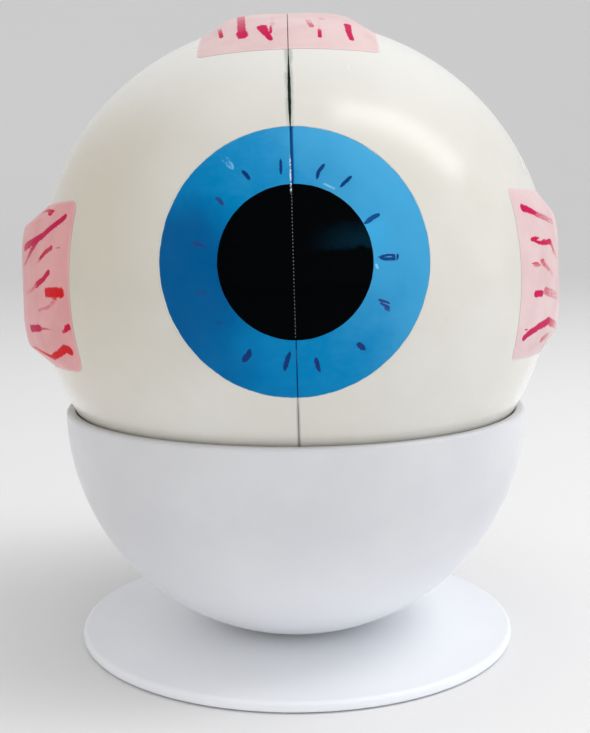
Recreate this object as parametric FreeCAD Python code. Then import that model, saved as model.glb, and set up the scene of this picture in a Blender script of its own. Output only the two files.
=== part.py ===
import FreeCAD, Part

import math
import os

from FreeCAD import Placement, Rotation, Vector

# Take-apart model of a right human eyeball, six times life size, resting in a cup stand.
#
# Millimetres and degrees, +Z up. The origin is on the underside of the base plate, on the
# cup's centre line, and the eye looks towards -Y.
#
# The ball is drawn in its own eye frame: the optical axis runs along -Y, the seam between the
# two halves is the plane X = 0, the nasal side is +X, and the origin is the ball's centre.
# eye_to_stand() then leans and raises it to the way it sits in the cup.

# ---- Ball ----
BALL_RADIUS = 75.0  # 24-25 mm life size, times six
SCLERA_WALL = 4.0
SEAM_GAP = 0.3  # between the closed halves
SEAM_TOP_GAP = 1.2  # the halves gape this much at the crown
SEAM_GAPE_START = 32.0  # height above the optical axis where the gape begins
GAZE_ELEVATION = 7.4  # optical axis above the horizontal
MUSCLE_ELEVATION = 3.0  # the ring of muscles is raised less than the optical axis
SEAM_LEAN = 1.2  # the crown leans towards -X

# ---- Cornea ----
CORNEA_EDGE_RADIUS = 33.2  # where it meets the white of the eye
CORNEA_CURVE_RADIUS = 64.0
CORNEA_WALL = 3.0

# ---- Straight muscles, each a slab that hugs the ball ----
MUSCLE_FRONT = 46.6  # from the ball's centre forward to the middle of the insertion
MUSCLE_BACK = 40.0  # and back to the cut end
MUSCLE_CORNER_RADIUS = 5.0
MUSCLE_FRONT_THICKNESS = 1.5  # at the insertion
MUSCLE_SHOULDER_RISE = 1.0  # how much larger the shoulders' curve is than the flat face's
SIDE_MUSCLE_HALF_WIDTH = 22.7
SIDE_MUSCLE_FLAT_HALF_WIDTH = 14.0
LATERAL_MUSCLE_HEIGHT = 6.0  # above the ball, where the muscle is highest
MEDIAL_MUSCLE_HEIGHT = 4.6
SIDE_MUSCLE_BOW = 2.2  # the insertion curves forward this much in the middle
CROWN_MUSCLE_HALF_WIDTH = 24.3
CROWN_MUSCLE_FLAT_HALF_WIDTH = 14.8
CROWN_MUSCLE_HEIGHT = 3.2
CROWN_MUSCLE_BOW = 6.0

# ---- Optic nerve ----
NERVE_ANGLE = 15.0  # towards the nose, from the back of the optical axis
NERVE_RADIUS = 10.5
NERVE_SHEATH_WALL = 2.5
NERVE_LENGTH = 22.0  # outside the ball
NERVE_CORE_PROUD = 0.6

# ---- Pegs that line the halves up ----
PEG_RADIUS = 1.0
PEG_LENGTH = 10.5
PEG_PROUD = 4.5  # past the seam plane, into the temporal half
PEG_HOLE_SPARE = 0.5
PEG_ANGLES = (50.0, 140.0, 220.0, 310.0)  # round the seam, from the optical axis upwards

# ---- Choroid shell with the retina on its inner face ----
CHOROID_WALL = 3.0
CHOROID_MOUTH_INSET = 3.2  # inside the edge of the cornea

# ---- Lens and the ring round it ----
CILIARY_WIDTH = 4.0  # from the mouth of the choroid in to the edge of the lens
LENS_EDGE = 2.0
LENS_FRONT_RISE = 8.0
LENS_BACK_RISE = 12.0
LENS_DEPTH = 23.0  # from the front of the ball back to the middle of the lens's edge

# ---- Vitreous body, a hollow clear moulding ----
VITREOUS_WALL = 2.5
VITREOUS_DEPTH = 1.8  # from the middle of the lens's edge back to its flat front

# ---- Stand ----
BASE_RADIUS = 64.5
BASE_THICKNESS = 3.0
BASE_EDGE_ROUND = 1.2
CUP_UNDERSIZE = 7.0  # how much smaller than the ball, so that the ball rests on the rim
CUP_WALL = 3.0
CUP_FOOT_RADIUS = 16.0
CUP_FLOOR = 4.0
CUP_RIM_ROUND = 1.0

# ---- Countersunk M4 screw, washer and nut ----
SCREW_RADIUS = 2.0
SCREW_HEAD_RADIUS = 4.0
SCREW_HEAD_RECESS = 0.3
SCREW_SLOT_WIDTH = 1.2
SCREW_SLOT_DEPTH = 1.0
SCREW_END_PROUD = 1.2
WASHER_RADIUS = 4.5
WASHER_THICKNESS = 0.8
NUT_ACROSS_FLATS = 7.0
NUT_HEIGHT = 3.2

# ---- Clearances ----
GLUE_GAP = 0.05
NEST_GAP = 0.4  # between shells that lift out of each other
REST_GAP = 0.3  # between the ball and the rim that carries it
SWIVEL_GAP = 0.08  # between the screw or the cup's foot and the base plate
PEG_CLEARANCE = 0.08  # round each peg in the half that slides off it

# ---- Sizes that follow ----
SCLERA_INNER = BALL_RADIUS - SCLERA_WALL
CHOROID_OUTER = SCLERA_INNER - NEST_GAP
CHOROID_INNER = CHOROID_OUTER - CHOROID_WALL
VITREOUS_RADIUS = CHOROID_INNER - NEST_GAP
CHOROID_MOUTH_RADIUS = CORNEA_EDGE_RADIUS - CHOROID_MOUTH_INSET
LENS_RADIUS = CHOROID_MOUTH_RADIUS - CILIARY_WIDTH
LENS_PLANE = BALL_RADIUS - LENS_DEPTH
VITREOUS_FRONT = LENS_PLANE - VITREOUS_DEPTH
NERVE_CORE_RADIUS = NERVE_RADIUS - NERVE_SHEATH_WALL
CUP_RADIUS = BALL_RADIUS - CUP_UNDERSIZE
CUP_INNER = CUP_RADIUS - CUP_WALL
REACH = 2.0 * (BALL_RADIUS + NERVE_LENGTH)  # longer than any piece, for the cutting tools

OPTICAL_AXIS = Vector(0, -1, 0)
NASAL = 1
TEMPORAL = -1


def height_on_circle(radius, offset):
    """Distance from a circle's centre to the chord that lies offset along the other axis."""
    return math.sqrt(radius * radius - offset * offset)


def eye_point(across, forward):
    """Point in the eye frame's section plane, across and forward of the ball's centre."""
    return Vector(across, -forward, 0)


def stand_point(across, height):
    """Point in the stand's section plane."""
    return Vector(across, 0, height)


def line(start, end):
    return Part.LineSegment(start, end).toShape()


def arc(start, end, centre, radius):
    """Shorter arc from start to end round centre."""
    middle = (start + end) * 0.5 - centre
    middle.normalize()
    return Part.Arc(start, centre + middle * radius, end).toShape()


def turned(edges, axis):
    """Solid of revolution of a closed outline about an axis through the origin."""
    return Part.Face(Part.Wire(edges)).revolve(Vector(), axis, 360)


def disc(radius, bottom, height):
    return Part.makeCylinder(radius, height, Vector(0, 0, bottom))


def prism(points, direction):
    """Straight prism of a polygon."""
    outline = Part.Face(Part.makePolygon(points + [points[0]]))
    return outline.extrude(direction)


def rim_round_centre(wall_radius):
    """Centre of the round between the flat top of the rim and one wall of the cup.

    wall_radius is the radius on which the round's centre lies, measured from the cup's centre.
    """
    across = height_on_circle(wall_radius, CUP_RIM_ROUND)
    return stand_point(across, cup_centre_height() - CUP_RIM_ROUND)


def ball_centre_height():
    """Height at which the ball rests on the rounded inner edge of the cup's rim."""
    edge = rim_round_centre(CUP_INNER + CUP_RIM_ROUND)
    reach = BALL_RADIUS + REST_GAP + CUP_RIM_ROUND
    return edge.z + height_on_circle(reach, edge.x)


def cup_foot_height():
    return BASE_THICKNESS + SWIVEL_GAP


def cup_centre_height():
    """Height of the centre of the cup's hemisphere, which is also the height of its rim."""
    return cup_foot_height() + height_on_circle(CUP_RADIUS, CUP_FOOT_RADIUS)


def cup_floor_height():
    return cup_foot_height() + CUP_FLOOR


def eye_to_stand(shape):
    """Raise the gaze, lean the seam and lift the piece from the eye frame into the cup."""
    lean = Placement(Vector(0, 0, ball_centre_height()), Rotation(Vector(0, 1, 0), -SEAM_LEAN))
    gaze = Placement(Vector(), Rotation(Vector(1, 0, 0), -GAZE_ELEVATION))
    moved = shape.copy()
    moved.transformShape((lean * gaze).toMatrix(), True)
    return moved


def half_space(side):
    """Everything on one side of the seam, with a face that falls away towards the crown."""
    seam = 0.5 * SEAM_GAP
    crown = 0.5 * SEAM_TOP_GAP
    section = [
        Vector(side * seam, -REACH, -REACH),
        Vector(side * seam, -REACH, SEAM_GAPE_START),
        Vector(side * crown, -REACH, BALL_RADIUS),
        Vector(side * crown, -REACH, REACH),
        Vector(side * REACH, -REACH, REACH),
        Vector(side * REACH, -REACH, -REACH),
    ]
    return prism(section, Vector(0, 2 * REACH, 0))


def flat_half_space(side):
    """Everything on one side of a seam of even width."""
    low = min(side * 0.5 * SEAM_GAP, side * REACH)
    width = REACH - 0.5 * SEAM_GAP
    return Part.makeBox(width, 2 * REACH, 2 * REACH, Vector(low, -REACH, -REACH))


# ---- Ball pieces, in the eye frame ----


def cornea_edge_forward():
    return height_on_circle(BALL_RADIUS, CORNEA_EDGE_RADIUS)


def nerve_direction():
    angle = math.radians(NERVE_ANGLE)
    return Vector(math.sin(angle), math.cos(angle), 0)


def peg(radius, low, high):
    """The four pegs, or their holes, as bars across the seam in the middle of the wall."""
    middle = BALL_RADIUS - 0.5 * SCLERA_WALL
    bars = []
    for angle in PEG_ANGLES:
        forward = middle * math.cos(math.radians(angle))
        up = middle * math.sin(math.radians(angle))
        bars.append(Part.makeCylinder(radius, high - low, Vector(low, -forward, up), Vector(1, 0, 0)))
    return bars


def sclera_shell():
    """White outer shell, open in front where the cornea is glued in."""
    edge = CORNEA_EDGE_RADIUS
    outer_edge = eye_point(edge, cornea_edge_forward())
    inner_edge = eye_point(edge, height_on_circle(SCLERA_INNER, edge))
    outer_side = eye_point(BALL_RADIUS, 0)
    inner_side = eye_point(SCLERA_INNER, 0)
    outer_back = eye_point(0, -BALL_RADIUS)
    inner_back = eye_point(0, -SCLERA_INNER)
    return turned(
        [
            arc(outer_edge, outer_side, Vector(), BALL_RADIUS),
            arc(outer_side, outer_back, Vector(), BALL_RADIUS),
            line(outer_back, inner_back),
            arc(inner_back, inner_side, Vector(), SCLERA_INNER),
            arc(inner_side, inner_edge, Vector(), SCLERA_INNER),
            line(inner_edge, outer_edge),
        ],
        OPTICAL_AXIS,
    )


def sclera_half(side):
    """One half of the white shell, drilled for the pegs and, on the nasal side, the nerve."""
    half = sclera_shell().common(half_space(side))
    if side == NASAL:
        depth = PEG_LENGTH - PEG_PROUD
        holes = peg(PEG_RADIUS + GLUE_GAP, -PEG_PROUD, depth + GLUE_GAP)
        holes.append(Part.makeCylinder(NERVE_CORE_RADIUS + GLUE_GAP, REACH, Vector(), nerve_direction()))
    else:
        holes = peg(PEG_RADIUS + PEG_CLEARANCE, -PEG_PROUD - PEG_HOLE_SPARE, PEG_PROUD)
    return half.cut(Part.makeCompound(holes))


def cornea_shell():
    """Domed front cap, more curved than the ball, that carries the painted iris and pupil."""
    edge = CORNEA_EDGE_RADIUS - GLUE_GAP
    centre_forward = cornea_edge_forward() - height_on_circle(CORNEA_CURVE_RADIUS, CORNEA_EDGE_RADIUS)
    centre = eye_point(0, centre_forward)
    inner_radius = CORNEA_CURVE_RADIUS - CORNEA_WALL
    outer_edge = eye_point(edge, centre_forward + height_on_circle(CORNEA_CURVE_RADIUS, edge))
    inner_edge = eye_point(edge, centre_forward + height_on_circle(inner_radius, edge))
    outer_tip = eye_point(0, centre_forward + CORNEA_CURVE_RADIUS)
    inner_tip = eye_point(0, centre_forward + inner_radius)
    return turned(
        [
            arc(outer_tip, outer_edge, centre, CORNEA_CURVE_RADIUS),
            line(outer_edge, inner_edge),
            arc(inner_edge, inner_tip, centre, inner_radius),
            line(inner_tip, outer_tip),
        ],
        OPTICAL_AXIS,
    )


def cornea_half(side):
    return cornea_shell().common(half_space(side))


def muscle_plan(half_width, bow):
    """Upright prism of a muscle's outline: straight sides, a cut end and a bowed insertion."""
    front_low = Vector(0, bow - MUSCLE_FRONT, -half_width)
    front_high = Vector(0, bow - MUSCLE_FRONT, half_width)
    back_high = Vector(0, MUSCLE_BACK, half_width)
    back_low = Vector(0, MUSCLE_BACK, -half_width)
    outline = [
        Part.Arc(front_low, Vector(0, -MUSCLE_FRONT, 0), front_high).toShape(),
        line(front_high, back_high),
        line(back_high, back_low),
        line(back_low, front_low),
    ]
    plan = Part.Face(Part.Wire(outline)).extrude(Vector(REACH, 0, 0))
    corners = [edge for edge in plan.Edges if edge.BoundBox.XLength > 0.5 * REACH]
    return plan.makeFillet(MUSCLE_CORNER_RADIUS, corners)


def muscle_curve_setback(radius):
    """How far behind the ball's centre a curve of this radius lies, to end just over the insertion."""
    over_ball = (BALL_RADIUS + MUSCLE_FRONT_THICKNESS) / BALL_RADIUS
    rise = over_ball * height_on_circle(BALL_RADIUS, MUSCLE_FRONT)
    return height_on_circle(radius, rise) - over_ball * MUSCLE_FRONT


def muscle_slab(height, half_width, flat_half_width, bow):
    """Muscle on the +X side of the ball: flat-faced, bevelled along both sides, thin in front."""
    face_radius = BALL_RADIUS + height
    shoulder_radius = face_radius + MUSCLE_SHOULDER_RISE
    plan = muscle_plan(half_width, bow)

    face_centre = Vector(0, muscle_curve_setback(face_radius), -REACH)
    face = Part.makeCylinder(face_radius, 2 * REACH, face_centre)
    face.rotate(face_centre, Vector(0, 0, 1), 180)
    shoulder_centre = Vector(0, muscle_curve_setback(shoulder_radius), 0)
    shoulders = Part.makeSphere(shoulder_radius, shoulder_centre)
    shoulders.rotate(shoulder_centre, Vector(0, 0, 1), 180)

    bevel_end = height_on_circle(BALL_RADIUS, half_width)
    run = (half_width - flat_half_width) / (face_radius - bevel_end)
    top_half_width = flat_half_width - run * height
    section = [
        Vector(0, -REACH, -half_width),
        Vector(bevel_end, -REACH, -half_width),
        Vector(face_radius + height, -REACH, -top_half_width),
        Vector(face_radius + height, -REACH, top_half_width),
        Vector(bevel_end, -REACH, half_width),
        Vector(0, -REACH, half_width),
    ]
    bevelled = prism(section, Vector(0, 2 * REACH, 0))

    seat = Part.makeSphere(BALL_RADIUS + GLUE_GAP)
    seat.rotate(Vector(), Vector(0, 0, 1), 180)
    return plan.common(bevelled).common(face).common(shoulders).cut(seat)


def placed_muscle(slab, round_the_ball):
    """Turn a slab from +X round to its side of the ball and tip it to the muscles' own level."""
    turn = Placement(Vector(), Rotation(Vector(0, 1, 0), round_the_ball))
    tip = Placement(Vector(), Rotation(Vector(1, 0, 0), GAZE_ELEVATION - MUSCLE_ELEVATION))
    moved = slab.copy()
    moved.transformShape((tip * turn).toMatrix(), True)
    return moved


def side_muscle(side):
    height = MEDIAL_MUSCLE_HEIGHT if side == NASAL else LATERAL_MUSCLE_HEIGHT
    slab = muscle_slab(height, SIDE_MUSCLE_HALF_WIDTH, SIDE_MUSCLE_FLAT_HALF_WIDTH, SIDE_MUSCLE_BOW)
    return placed_muscle(slab, 0 if side == NASAL else 180)


def crown_muscle_half(side, up):
    """Half of the muscle above or below the ball, which the seam splits along its length."""
    slab = muscle_slab(
        CROWN_MUSCLE_HEIGHT, CROWN_MUSCLE_HALF_WIDTH, CROWN_MUSCLE_FLAT_HALF_WIDTH, CROWN_MUSCLE_BOW
    )
    return placed_muscle(slab, -90 * up).common(half_space(side))


def nerve_sheath():
    """Tube of outer membrane round the nerve, glued to the back of the ball."""
    direction = nerve_direction()
    end = BALL_RADIUS + NERVE_LENGTH
    tube = Part.makeCylinder(NERVE_RADIUS, end, Vector(), direction)
    bore = Part.makeCylinder(NERVE_CORE_RADIUS + GLUE_GAP, end, Vector(), direction)
    return tube.cut(bore).cut(Part.makeSphere(BALL_RADIUS + GLUE_GAP))


def nerve_core():
    """Nerve itself, from the inside of the white shell to just past the end of its sheath."""
    direction = nerve_direction()
    length = NERVE_LENGTH + SCLERA_WALL + NERVE_CORE_PROUD
    return Part.makeCylinder(NERVE_CORE_RADIUS, length, direction * SCLERA_INNER, direction)


def seam_pegs():
    return Part.makeCompound(peg(PEG_RADIUS, -PEG_PROUD, PEG_LENGTH - PEG_PROUD))


def choroid_shell():
    """Dark lining shell whose inner face is the retina, open in front round the lens."""
    mouth = CHOROID_MOUTH_RADIUS
    outer_edge = eye_point(mouth, height_on_circle(CHOROID_OUTER, mouth))
    inner_edge = eye_point(mouth, height_on_circle(CHOROID_INNER, mouth))
    outer_side = eye_point(CHOROID_OUTER, 0)
    inner_side = eye_point(CHOROID_INNER, 0)
    outer_back = eye_point(0, -CHOROID_OUTER)
    inner_back = eye_point(0, -CHOROID_INNER)
    return turned(
        [
            arc(outer_edge, outer_side, Vector(), CHOROID_OUTER),
            arc(outer_side, outer_back, Vector(), CHOROID_OUTER),
            line(outer_back, inner_back),
            arc(inner_back, inner_side, Vector(), CHOROID_INNER),
            arc(inner_side, inner_edge, Vector(), CHOROID_INNER),
            line(inner_edge, outer_edge),
        ],
        OPTICAL_AXIS,
    )


def choroid_half(side):
    return choroid_shell().common(flat_half_space(side))


def ciliary_body():
    """Ring inside the front of the choroid that surrounds the edge of the lens."""
    seat_radius = CHOROID_INNER - GLUE_GAP
    back = VITREOUS_FRONT + NEST_GAP
    bore = LENS_RADIUS + NEST_GAP
    front = height_on_circle(seat_radius, CHOROID_MOUTH_RADIUS)
    slope = CHOROID_MOUTH_RADIUS - bore
    back_inner = eye_point(bore, back)
    back_outer = eye_point(height_on_circle(seat_radius, back), back)
    front_outer = eye_point(CHOROID_MOUTH_RADIUS, front)
    front_inner = eye_point(bore, front - slope)
    return turned(
        [
            line(back_inner, back_outer),
            arc(back_outer, front_outer, Vector(), seat_radius),
            line(front_outer, front_inner),
            line(front_inner, back_inner),
        ],
        OPTICAL_AXIS,
    )


def ciliary_half(side):
    return ciliary_body().common(flat_half_space(side))


def lens_curve_radius(rise):
    """Radius of the lens face that rises this far above the edge."""
    return (LENS_RADIUS * LENS_RADIUS + rise * rise) / (2.0 * rise)


def lens_back_edge():
    return LENS_PLANE - 0.5 * LENS_EDGE


def lens_back_centre():
    """Forward place of the centre of the lens's back face."""
    return lens_back_edge() - LENS_BACK_RISE + lens_curve_radius(LENS_BACK_RISE)


def crystalline_lens():
    """Clear lens, more curved behind than in front, with a narrow cylindrical edge."""
    front_edge = LENS_PLANE + 0.5 * LENS_EDGE
    front_radius = lens_curve_radius(LENS_FRONT_RISE)
    front_centre = eye_point(0, front_edge + LENS_FRONT_RISE - front_radius)
    back_centre = eye_point(0, lens_back_centre())
    front_tip = eye_point(0, front_edge + LENS_FRONT_RISE)
    back_tip = eye_point(0, lens_back_edge() - LENS_BACK_RISE)
    front_rim = eye_point(LENS_RADIUS, front_edge)
    back_rim = eye_point(LENS_RADIUS, lens_back_edge())
    return turned(
        [
            arc(front_tip, front_rim, front_centre, front_radius),
            line(front_rim, back_rim),
            arc(back_rim, back_tip, back_centre, lens_curve_radius(LENS_BACK_RISE)),
            line(back_tip, front_tip),
        ],
        OPTICAL_AXIS,
    )


def vitreous_form(inset):
    """Ball with a flat front and a dish for the lens, drawn in by inset all over."""
    radius = VITREOUS_RADIUS - inset
    front = VITREOUS_FRONT - inset
    dish_radius = lens_curve_radius(LENS_BACK_RISE) + REST_GAP + inset
    dish_centre = lens_back_centre()
    front_outer = eye_point(height_on_circle(radius, front), front)
    dish_edge = eye_point(height_on_circle(dish_radius, dish_centre - front), front)
    dish_bottom = eye_point(0, dish_centre - dish_radius)
    side = eye_point(radius, 0)
    back = eye_point(0, -radius)
    return turned(
        [
            arc(front_outer, side, Vector(), radius),
            arc(side, back, Vector(), radius),
            line(back, dish_bottom),
            arc(dish_bottom, dish_edge, eye_point(0, dish_centre), dish_radius),
            line(dish_edge, front_outer),
        ],
        OPTICAL_AXIS,
    )


def vitreous_body():
    return vitreous_form(0.0).cut(vitreous_form(VITREOUS_WALL))


# ---- Stand pieces ----


def screw_head_height():
    """Height of the cone under a ninety degree countersunk head."""
    return SCREW_HEAD_RADIUS - SCREW_RADIUS


def base_plate():
    """Thin round plate with rounded edges and a countersunk hole from below."""
    plate = disc(BASE_RADIUS, 0, BASE_THICKNESS)
    rims = [edge for edge in plate.Edges if edge.BoundBox.ZLength < 0.5 * BASE_THICKNESS]
    plate = plate.makeFillet(BASE_EDGE_ROUND, rims)
    mouth = SCREW_HEAD_RADIUS + SWIVEL_GAP + SCREW_HEAD_RECESS
    throat = SCREW_RADIUS + SWIVEL_GAP
    sink = Part.makeCone(mouth, throat, mouth - throat)
    return plate.cut(sink).cut(disc(throat, 0, BASE_THICKNESS))


def stand_cup():
    """Hemispherical cup with a flat foot, a thick floor for the screw and a rounded rim."""
    centre = stand_point(0, cup_centre_height())
    floor_drop = cup_centre_height() - cup_floor_height()
    hole = SCREW_RADIUS + GLUE_GAP
    foot_inner = stand_point(hole, cup_foot_height())
    foot_outer = stand_point(CUP_FOOT_RADIUS, cup_foot_height())
    outer_round = rim_round_centre(CUP_RADIUS - CUP_RIM_ROUND)
    inner_round = rim_round_centre(CUP_INNER + CUP_RIM_ROUND)
    up = Vector(0, 0, CUP_RIM_ROUND)
    wall_outer = centre + (outer_round - centre) * (CUP_RADIUS / (CUP_RADIUS - CUP_RIM_ROUND))
    wall_inner = centre + (inner_round - centre) * (CUP_INNER / (CUP_INNER + CUP_RIM_ROUND))
    floor_outer = stand_point(height_on_circle(CUP_INNER, floor_drop), cup_floor_height())
    floor_inner = stand_point(hole, cup_floor_height())
    return turned(
        [
            line(foot_inner, foot_outer),
            arc(foot_outer, wall_outer, centre, CUP_RADIUS),
            arc(wall_outer, outer_round + up, outer_round, CUP_RIM_ROUND),
            line(outer_round + up, inner_round + up),
            arc(inner_round + up, wall_inner, inner_round, CUP_RIM_ROUND),
            arc(wall_inner, floor_outer, centre, CUP_INNER),
            line(floor_outer, floor_inner),
            line(floor_inner, foot_inner),
        ],
        Vector(0, 0, 1),
    )


def screw_end_height():
    return cup_floor_height() + WASHER_THICKNESS + NUT_HEIGHT + SCREW_END_PROUD


def cup_screw():
    """Countersunk slotted screw, from under the base plate to past the nut."""
    head_bottom = Vector(0, 0, SCREW_HEAD_RECESS)
    head = Part.makeCone(SCREW_HEAD_RADIUS, SCREW_RADIUS, screw_head_height(), head_bottom)
    neck = SCREW_HEAD_RECESS + screw_head_height()
    shank = disc(SCREW_RADIUS, neck, screw_end_height() - neck)
    slot = Part.makeBox(2 * SCREW_HEAD_RADIUS, SCREW_SLOT_WIDTH, SCREW_SLOT_DEPTH)
    slot.translate(head_bottom + Vector(-SCREW_HEAD_RADIUS, -0.5 * SCREW_SLOT_WIDTH, 0))
    return head.fuse(shank).removeSplitter().cut(slot)


def cup_washer():
    ring = disc(WASHER_RADIUS, cup_floor_height(), WASHER_THICKNESS)
    return ring.cut(disc(SCREW_RADIUS + GLUE_GAP, cup_floor_height(), WASHER_THICKNESS))


def cup_nut():
    """Hexagon nut that clamps the washer to the cup's floor."""
    bottom = cup_floor_height() + WASHER_THICKNESS
    corner = NUT_ACROSS_FLATS / math.sqrt(3)
    corners = []
    for index in range(6):
        angle = math.radians(60 * index)
        corners.append(Vector(corner * math.cos(angle), corner * math.sin(angle), bottom))
    nut = prism(corners, Vector(0, 0, NUT_HEIGHT))
    return nut.cut(disc(SCREW_RADIUS + GLUE_GAP, bottom, NUT_HEIGHT))


STAND_PIECES = {
    "base_plate": base_plate(),
    "stand_cup": stand_cup(),
    "cup_screw": cup_screw(),
    "cup_washer": cup_washer(),
    "cup_nut": cup_nut(),
}

EYE_PIECES = {
    "sclera_nasal": sclera_half(NASAL),
    "sclera_temporal": sclera_half(TEMPORAL),
    "cornea_nasal": cornea_half(NASAL),
    "cornea_temporal": cornea_half(TEMPORAL),
    "medial_rectus": side_muscle(NASAL),
    "lateral_rectus": side_muscle(TEMPORAL),
    "superior_rectus_nasal": crown_muscle_half(NASAL, 1),
    "superior_rectus_temporal": crown_muscle_half(TEMPORAL, 1),
    "inferior_rectus_nasal": crown_muscle_half(NASAL, -1),
    "inferior_rectus_temporal": crown_muscle_half(TEMPORAL, -1),
    "optic_nerve_sheath": nerve_sheath(),
    "optic_nerve_core": nerve_core(),
    "seam_pegs": seam_pegs(),
    "choroid_nasal": choroid_half(NASAL),
    "choroid_temporal": choroid_half(TEMPORAL),
    "ciliary_body_nasal": ciliary_half(NASAL),
    "ciliary_body_temporal": ciliary_half(TEMPORAL),
    "vitreous_body": vitreous_body(),
    "crystalline_lens": crystalline_lens(),
}

os.makedirs("parts", exist_ok=True)
for name, shape in STAND_PIECES.items():
    shape.exportStep(f"parts/{name}.step")
for name, shape in EYE_PIECES.items():
    eye_to_stand(shape).exportStep(f"parts/{name}.step")
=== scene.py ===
"""Finishes and detailed forms of a take-apart eyeball model that rests in a cup stand.

Lengths inside the classes are millimetres and meshes are written in metres. The ball is drawn in its own
eye frame, as its construction is: the optical axis runs along -Y, the seam between the halves is X = 0,
the nasal side is +X and the origin is the ball's centre. EyeSeat turns and raises it into the cup.
"""

import logging
import math
from collections.abc import Sequence
from dataclasses import dataclass, field, replace
from enum import Enum

import bmesh
import bpy
import numpy as np
from mathutils import Euler, Matrix, Vector


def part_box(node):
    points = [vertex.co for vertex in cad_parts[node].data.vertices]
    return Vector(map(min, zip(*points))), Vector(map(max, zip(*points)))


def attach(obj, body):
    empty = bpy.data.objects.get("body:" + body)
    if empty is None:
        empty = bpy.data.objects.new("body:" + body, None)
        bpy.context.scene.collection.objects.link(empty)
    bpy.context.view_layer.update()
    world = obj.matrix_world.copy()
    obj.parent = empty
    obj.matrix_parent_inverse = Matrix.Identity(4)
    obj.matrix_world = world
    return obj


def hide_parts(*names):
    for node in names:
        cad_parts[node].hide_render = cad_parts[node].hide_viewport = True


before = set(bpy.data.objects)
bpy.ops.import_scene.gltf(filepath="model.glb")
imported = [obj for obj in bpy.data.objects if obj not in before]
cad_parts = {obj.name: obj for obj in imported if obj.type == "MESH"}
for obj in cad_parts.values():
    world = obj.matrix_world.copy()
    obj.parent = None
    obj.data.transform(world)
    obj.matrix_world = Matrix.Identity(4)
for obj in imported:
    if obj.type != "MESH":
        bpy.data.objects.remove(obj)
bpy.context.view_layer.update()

LOG = logging.getLogger("eye_model")
MM = 0.001
Array = np.ndarray
Colour = tuple[float, float, float]
Material = bpy.types.Material

# Sizes that several pieces and finishes share, in millimetres, and the nerve's turn in degrees.
BALL_RADIUS = 75.0
SHELL_WALL = 4.0
CORNEA_EDGE = 33.2
PUPIL_RADIUS = 18.66
PUPIL_SHIFT = 0.33
PUPIL_DROP = 0.62
NERVE_TURN = 15.0
HALF_PI = math.pi / 2.0


# ---- Surfaces ----


@dataclass
class Skin:
    """A surface: points in millimetres, four-cornered faces, and named numbers carried by the points."""

    points: Array
    faces: Array
    values: dict[str, Array] = field(default_factory=dict)

    def moved(self, points: Array) -> "Skin":
        """The same faces and numbers on other points."""
        return Skin(points, self.faces, self.values)


def points_at(x: Array, y: Array, z: Array) -> Array:
    """Points whose coordinates are three arrays or numbers, broadcast against each other."""
    return np.stack(np.broadcast_arrays(x, y, z), axis=-1)


def ball_rays(a: Array, b: Array) -> Array:
    """Directions (sin a cos b, -cos a, sin a sin b), a from the optical axis and b round it."""
    return points_at(np.sin(a) * np.cos(b), -np.cos(a), np.sin(a) * np.sin(b))


def spread(count: int, first: float, last: float, crowd: float) -> Array:
    """Numbers from first to last that crowd towards both ends.

    With t even from 0 to 1, each number is first + (last - first) * (t - crowd * sin(2 pi t) / (2 pi)).

    Args:
        count: How many numbers.
        first: The first number.
        last: The last number.
        crowd: 0 for even steps, up to just under 1 for very small steps at the ends.

    Returns:
        The numbers, as one row.
    """
    t = np.linspace(0.0, 1.0, count)
    return first + (last - first) * (t - crowd * np.sin(2.0 * np.pi * t) / (2.0 * np.pi))


def eased(low: float, high: float, values: Array) -> Array:
    """Smooth step: 0 up to low, 1 from high, and 3 t^2 - 2 t^3 between."""
    t = np.clip((values - low) / (high - low), 0.0, 1.0)
    return t * t * (3.0 - 2.0 * t)


def edge_drop(distance: Array, radius: float) -> Array:
    """How far a quarter round lies below the surface it ends: radius * (1 - sqrt(1 - (1 - d / radius)^2)).

    Args:
        distance: Distance d from the edge. Past the radius the drop is 0.
        radius: Radius of the round.

    Returns:
        The drop at each distance.
    """
    t = 1.0 - np.clip(distance / radius, 0.0, 1.0)
    return radius * (1.0 - np.sqrt(np.clip(1.0 - t * t, 0.0, 1.0)))


def soft_lower(a: Array, b: Array, blend: float) -> Array:
    """The lower of two heights, the corner between them eased: (a + b - sqrt((a - b)^2 + blend^2)) / 2."""
    return 0.5 * (a + b - np.sqrt((a - b) ** 2 + blend**2))


def grid_faces(rows: int, columns: int) -> Array:
    """Faces of a grid of points stored row by row: each joins a point, its neighbours and the one across.

    Args:
        rows: Rows of the grid.
        columns: Points in each row.

    Returns:
        The faces, four corners each.
    """
    index = np.arange(rows * columns).reshape(rows, columns)
    corners = [index[:-1, :-1], index[:-1, 1:], index[1:, 1:], index[1:, :-1]]
    return np.stack(corners, axis=-1).reshape(-1, 4)


def closed_patch(outer: Array, inner: Array, **values: Array) -> Skin:
    """A plate with thickness: two grids of the same shape, joined by a wall round their border.

    Args:
        outer: Grid of points of the outer face, rows by columns by 3.
        inner: Grid of points of the inner face.
        values: Numbers for the outer face's points. The inner face repeats them.

    Returns:
        The closed surface.
    """
    rows, columns = outer.shape[:2]
    count = rows * columns
    top = grid_faces(rows, columns)
    index = np.arange(count).reshape(rows, columns)
    rim = np.concatenate([index[0], index[1:, -1], index[-1, -2::-1], index[-2:0:-1, 0]])
    after = np.roll(rim, -1)
    wall = np.stack([after, rim, rim + count, after + count], axis=-1)
    points = np.concatenate([outer.reshape(-1, 3), inner.reshape(-1, 3)])
    faces = np.concatenate([top, top[:, ::-1] + count, wall])
    return Skin(points, faces, {name: np.tile(v.ravel(), 2) for name, v in values.items()})


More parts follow.
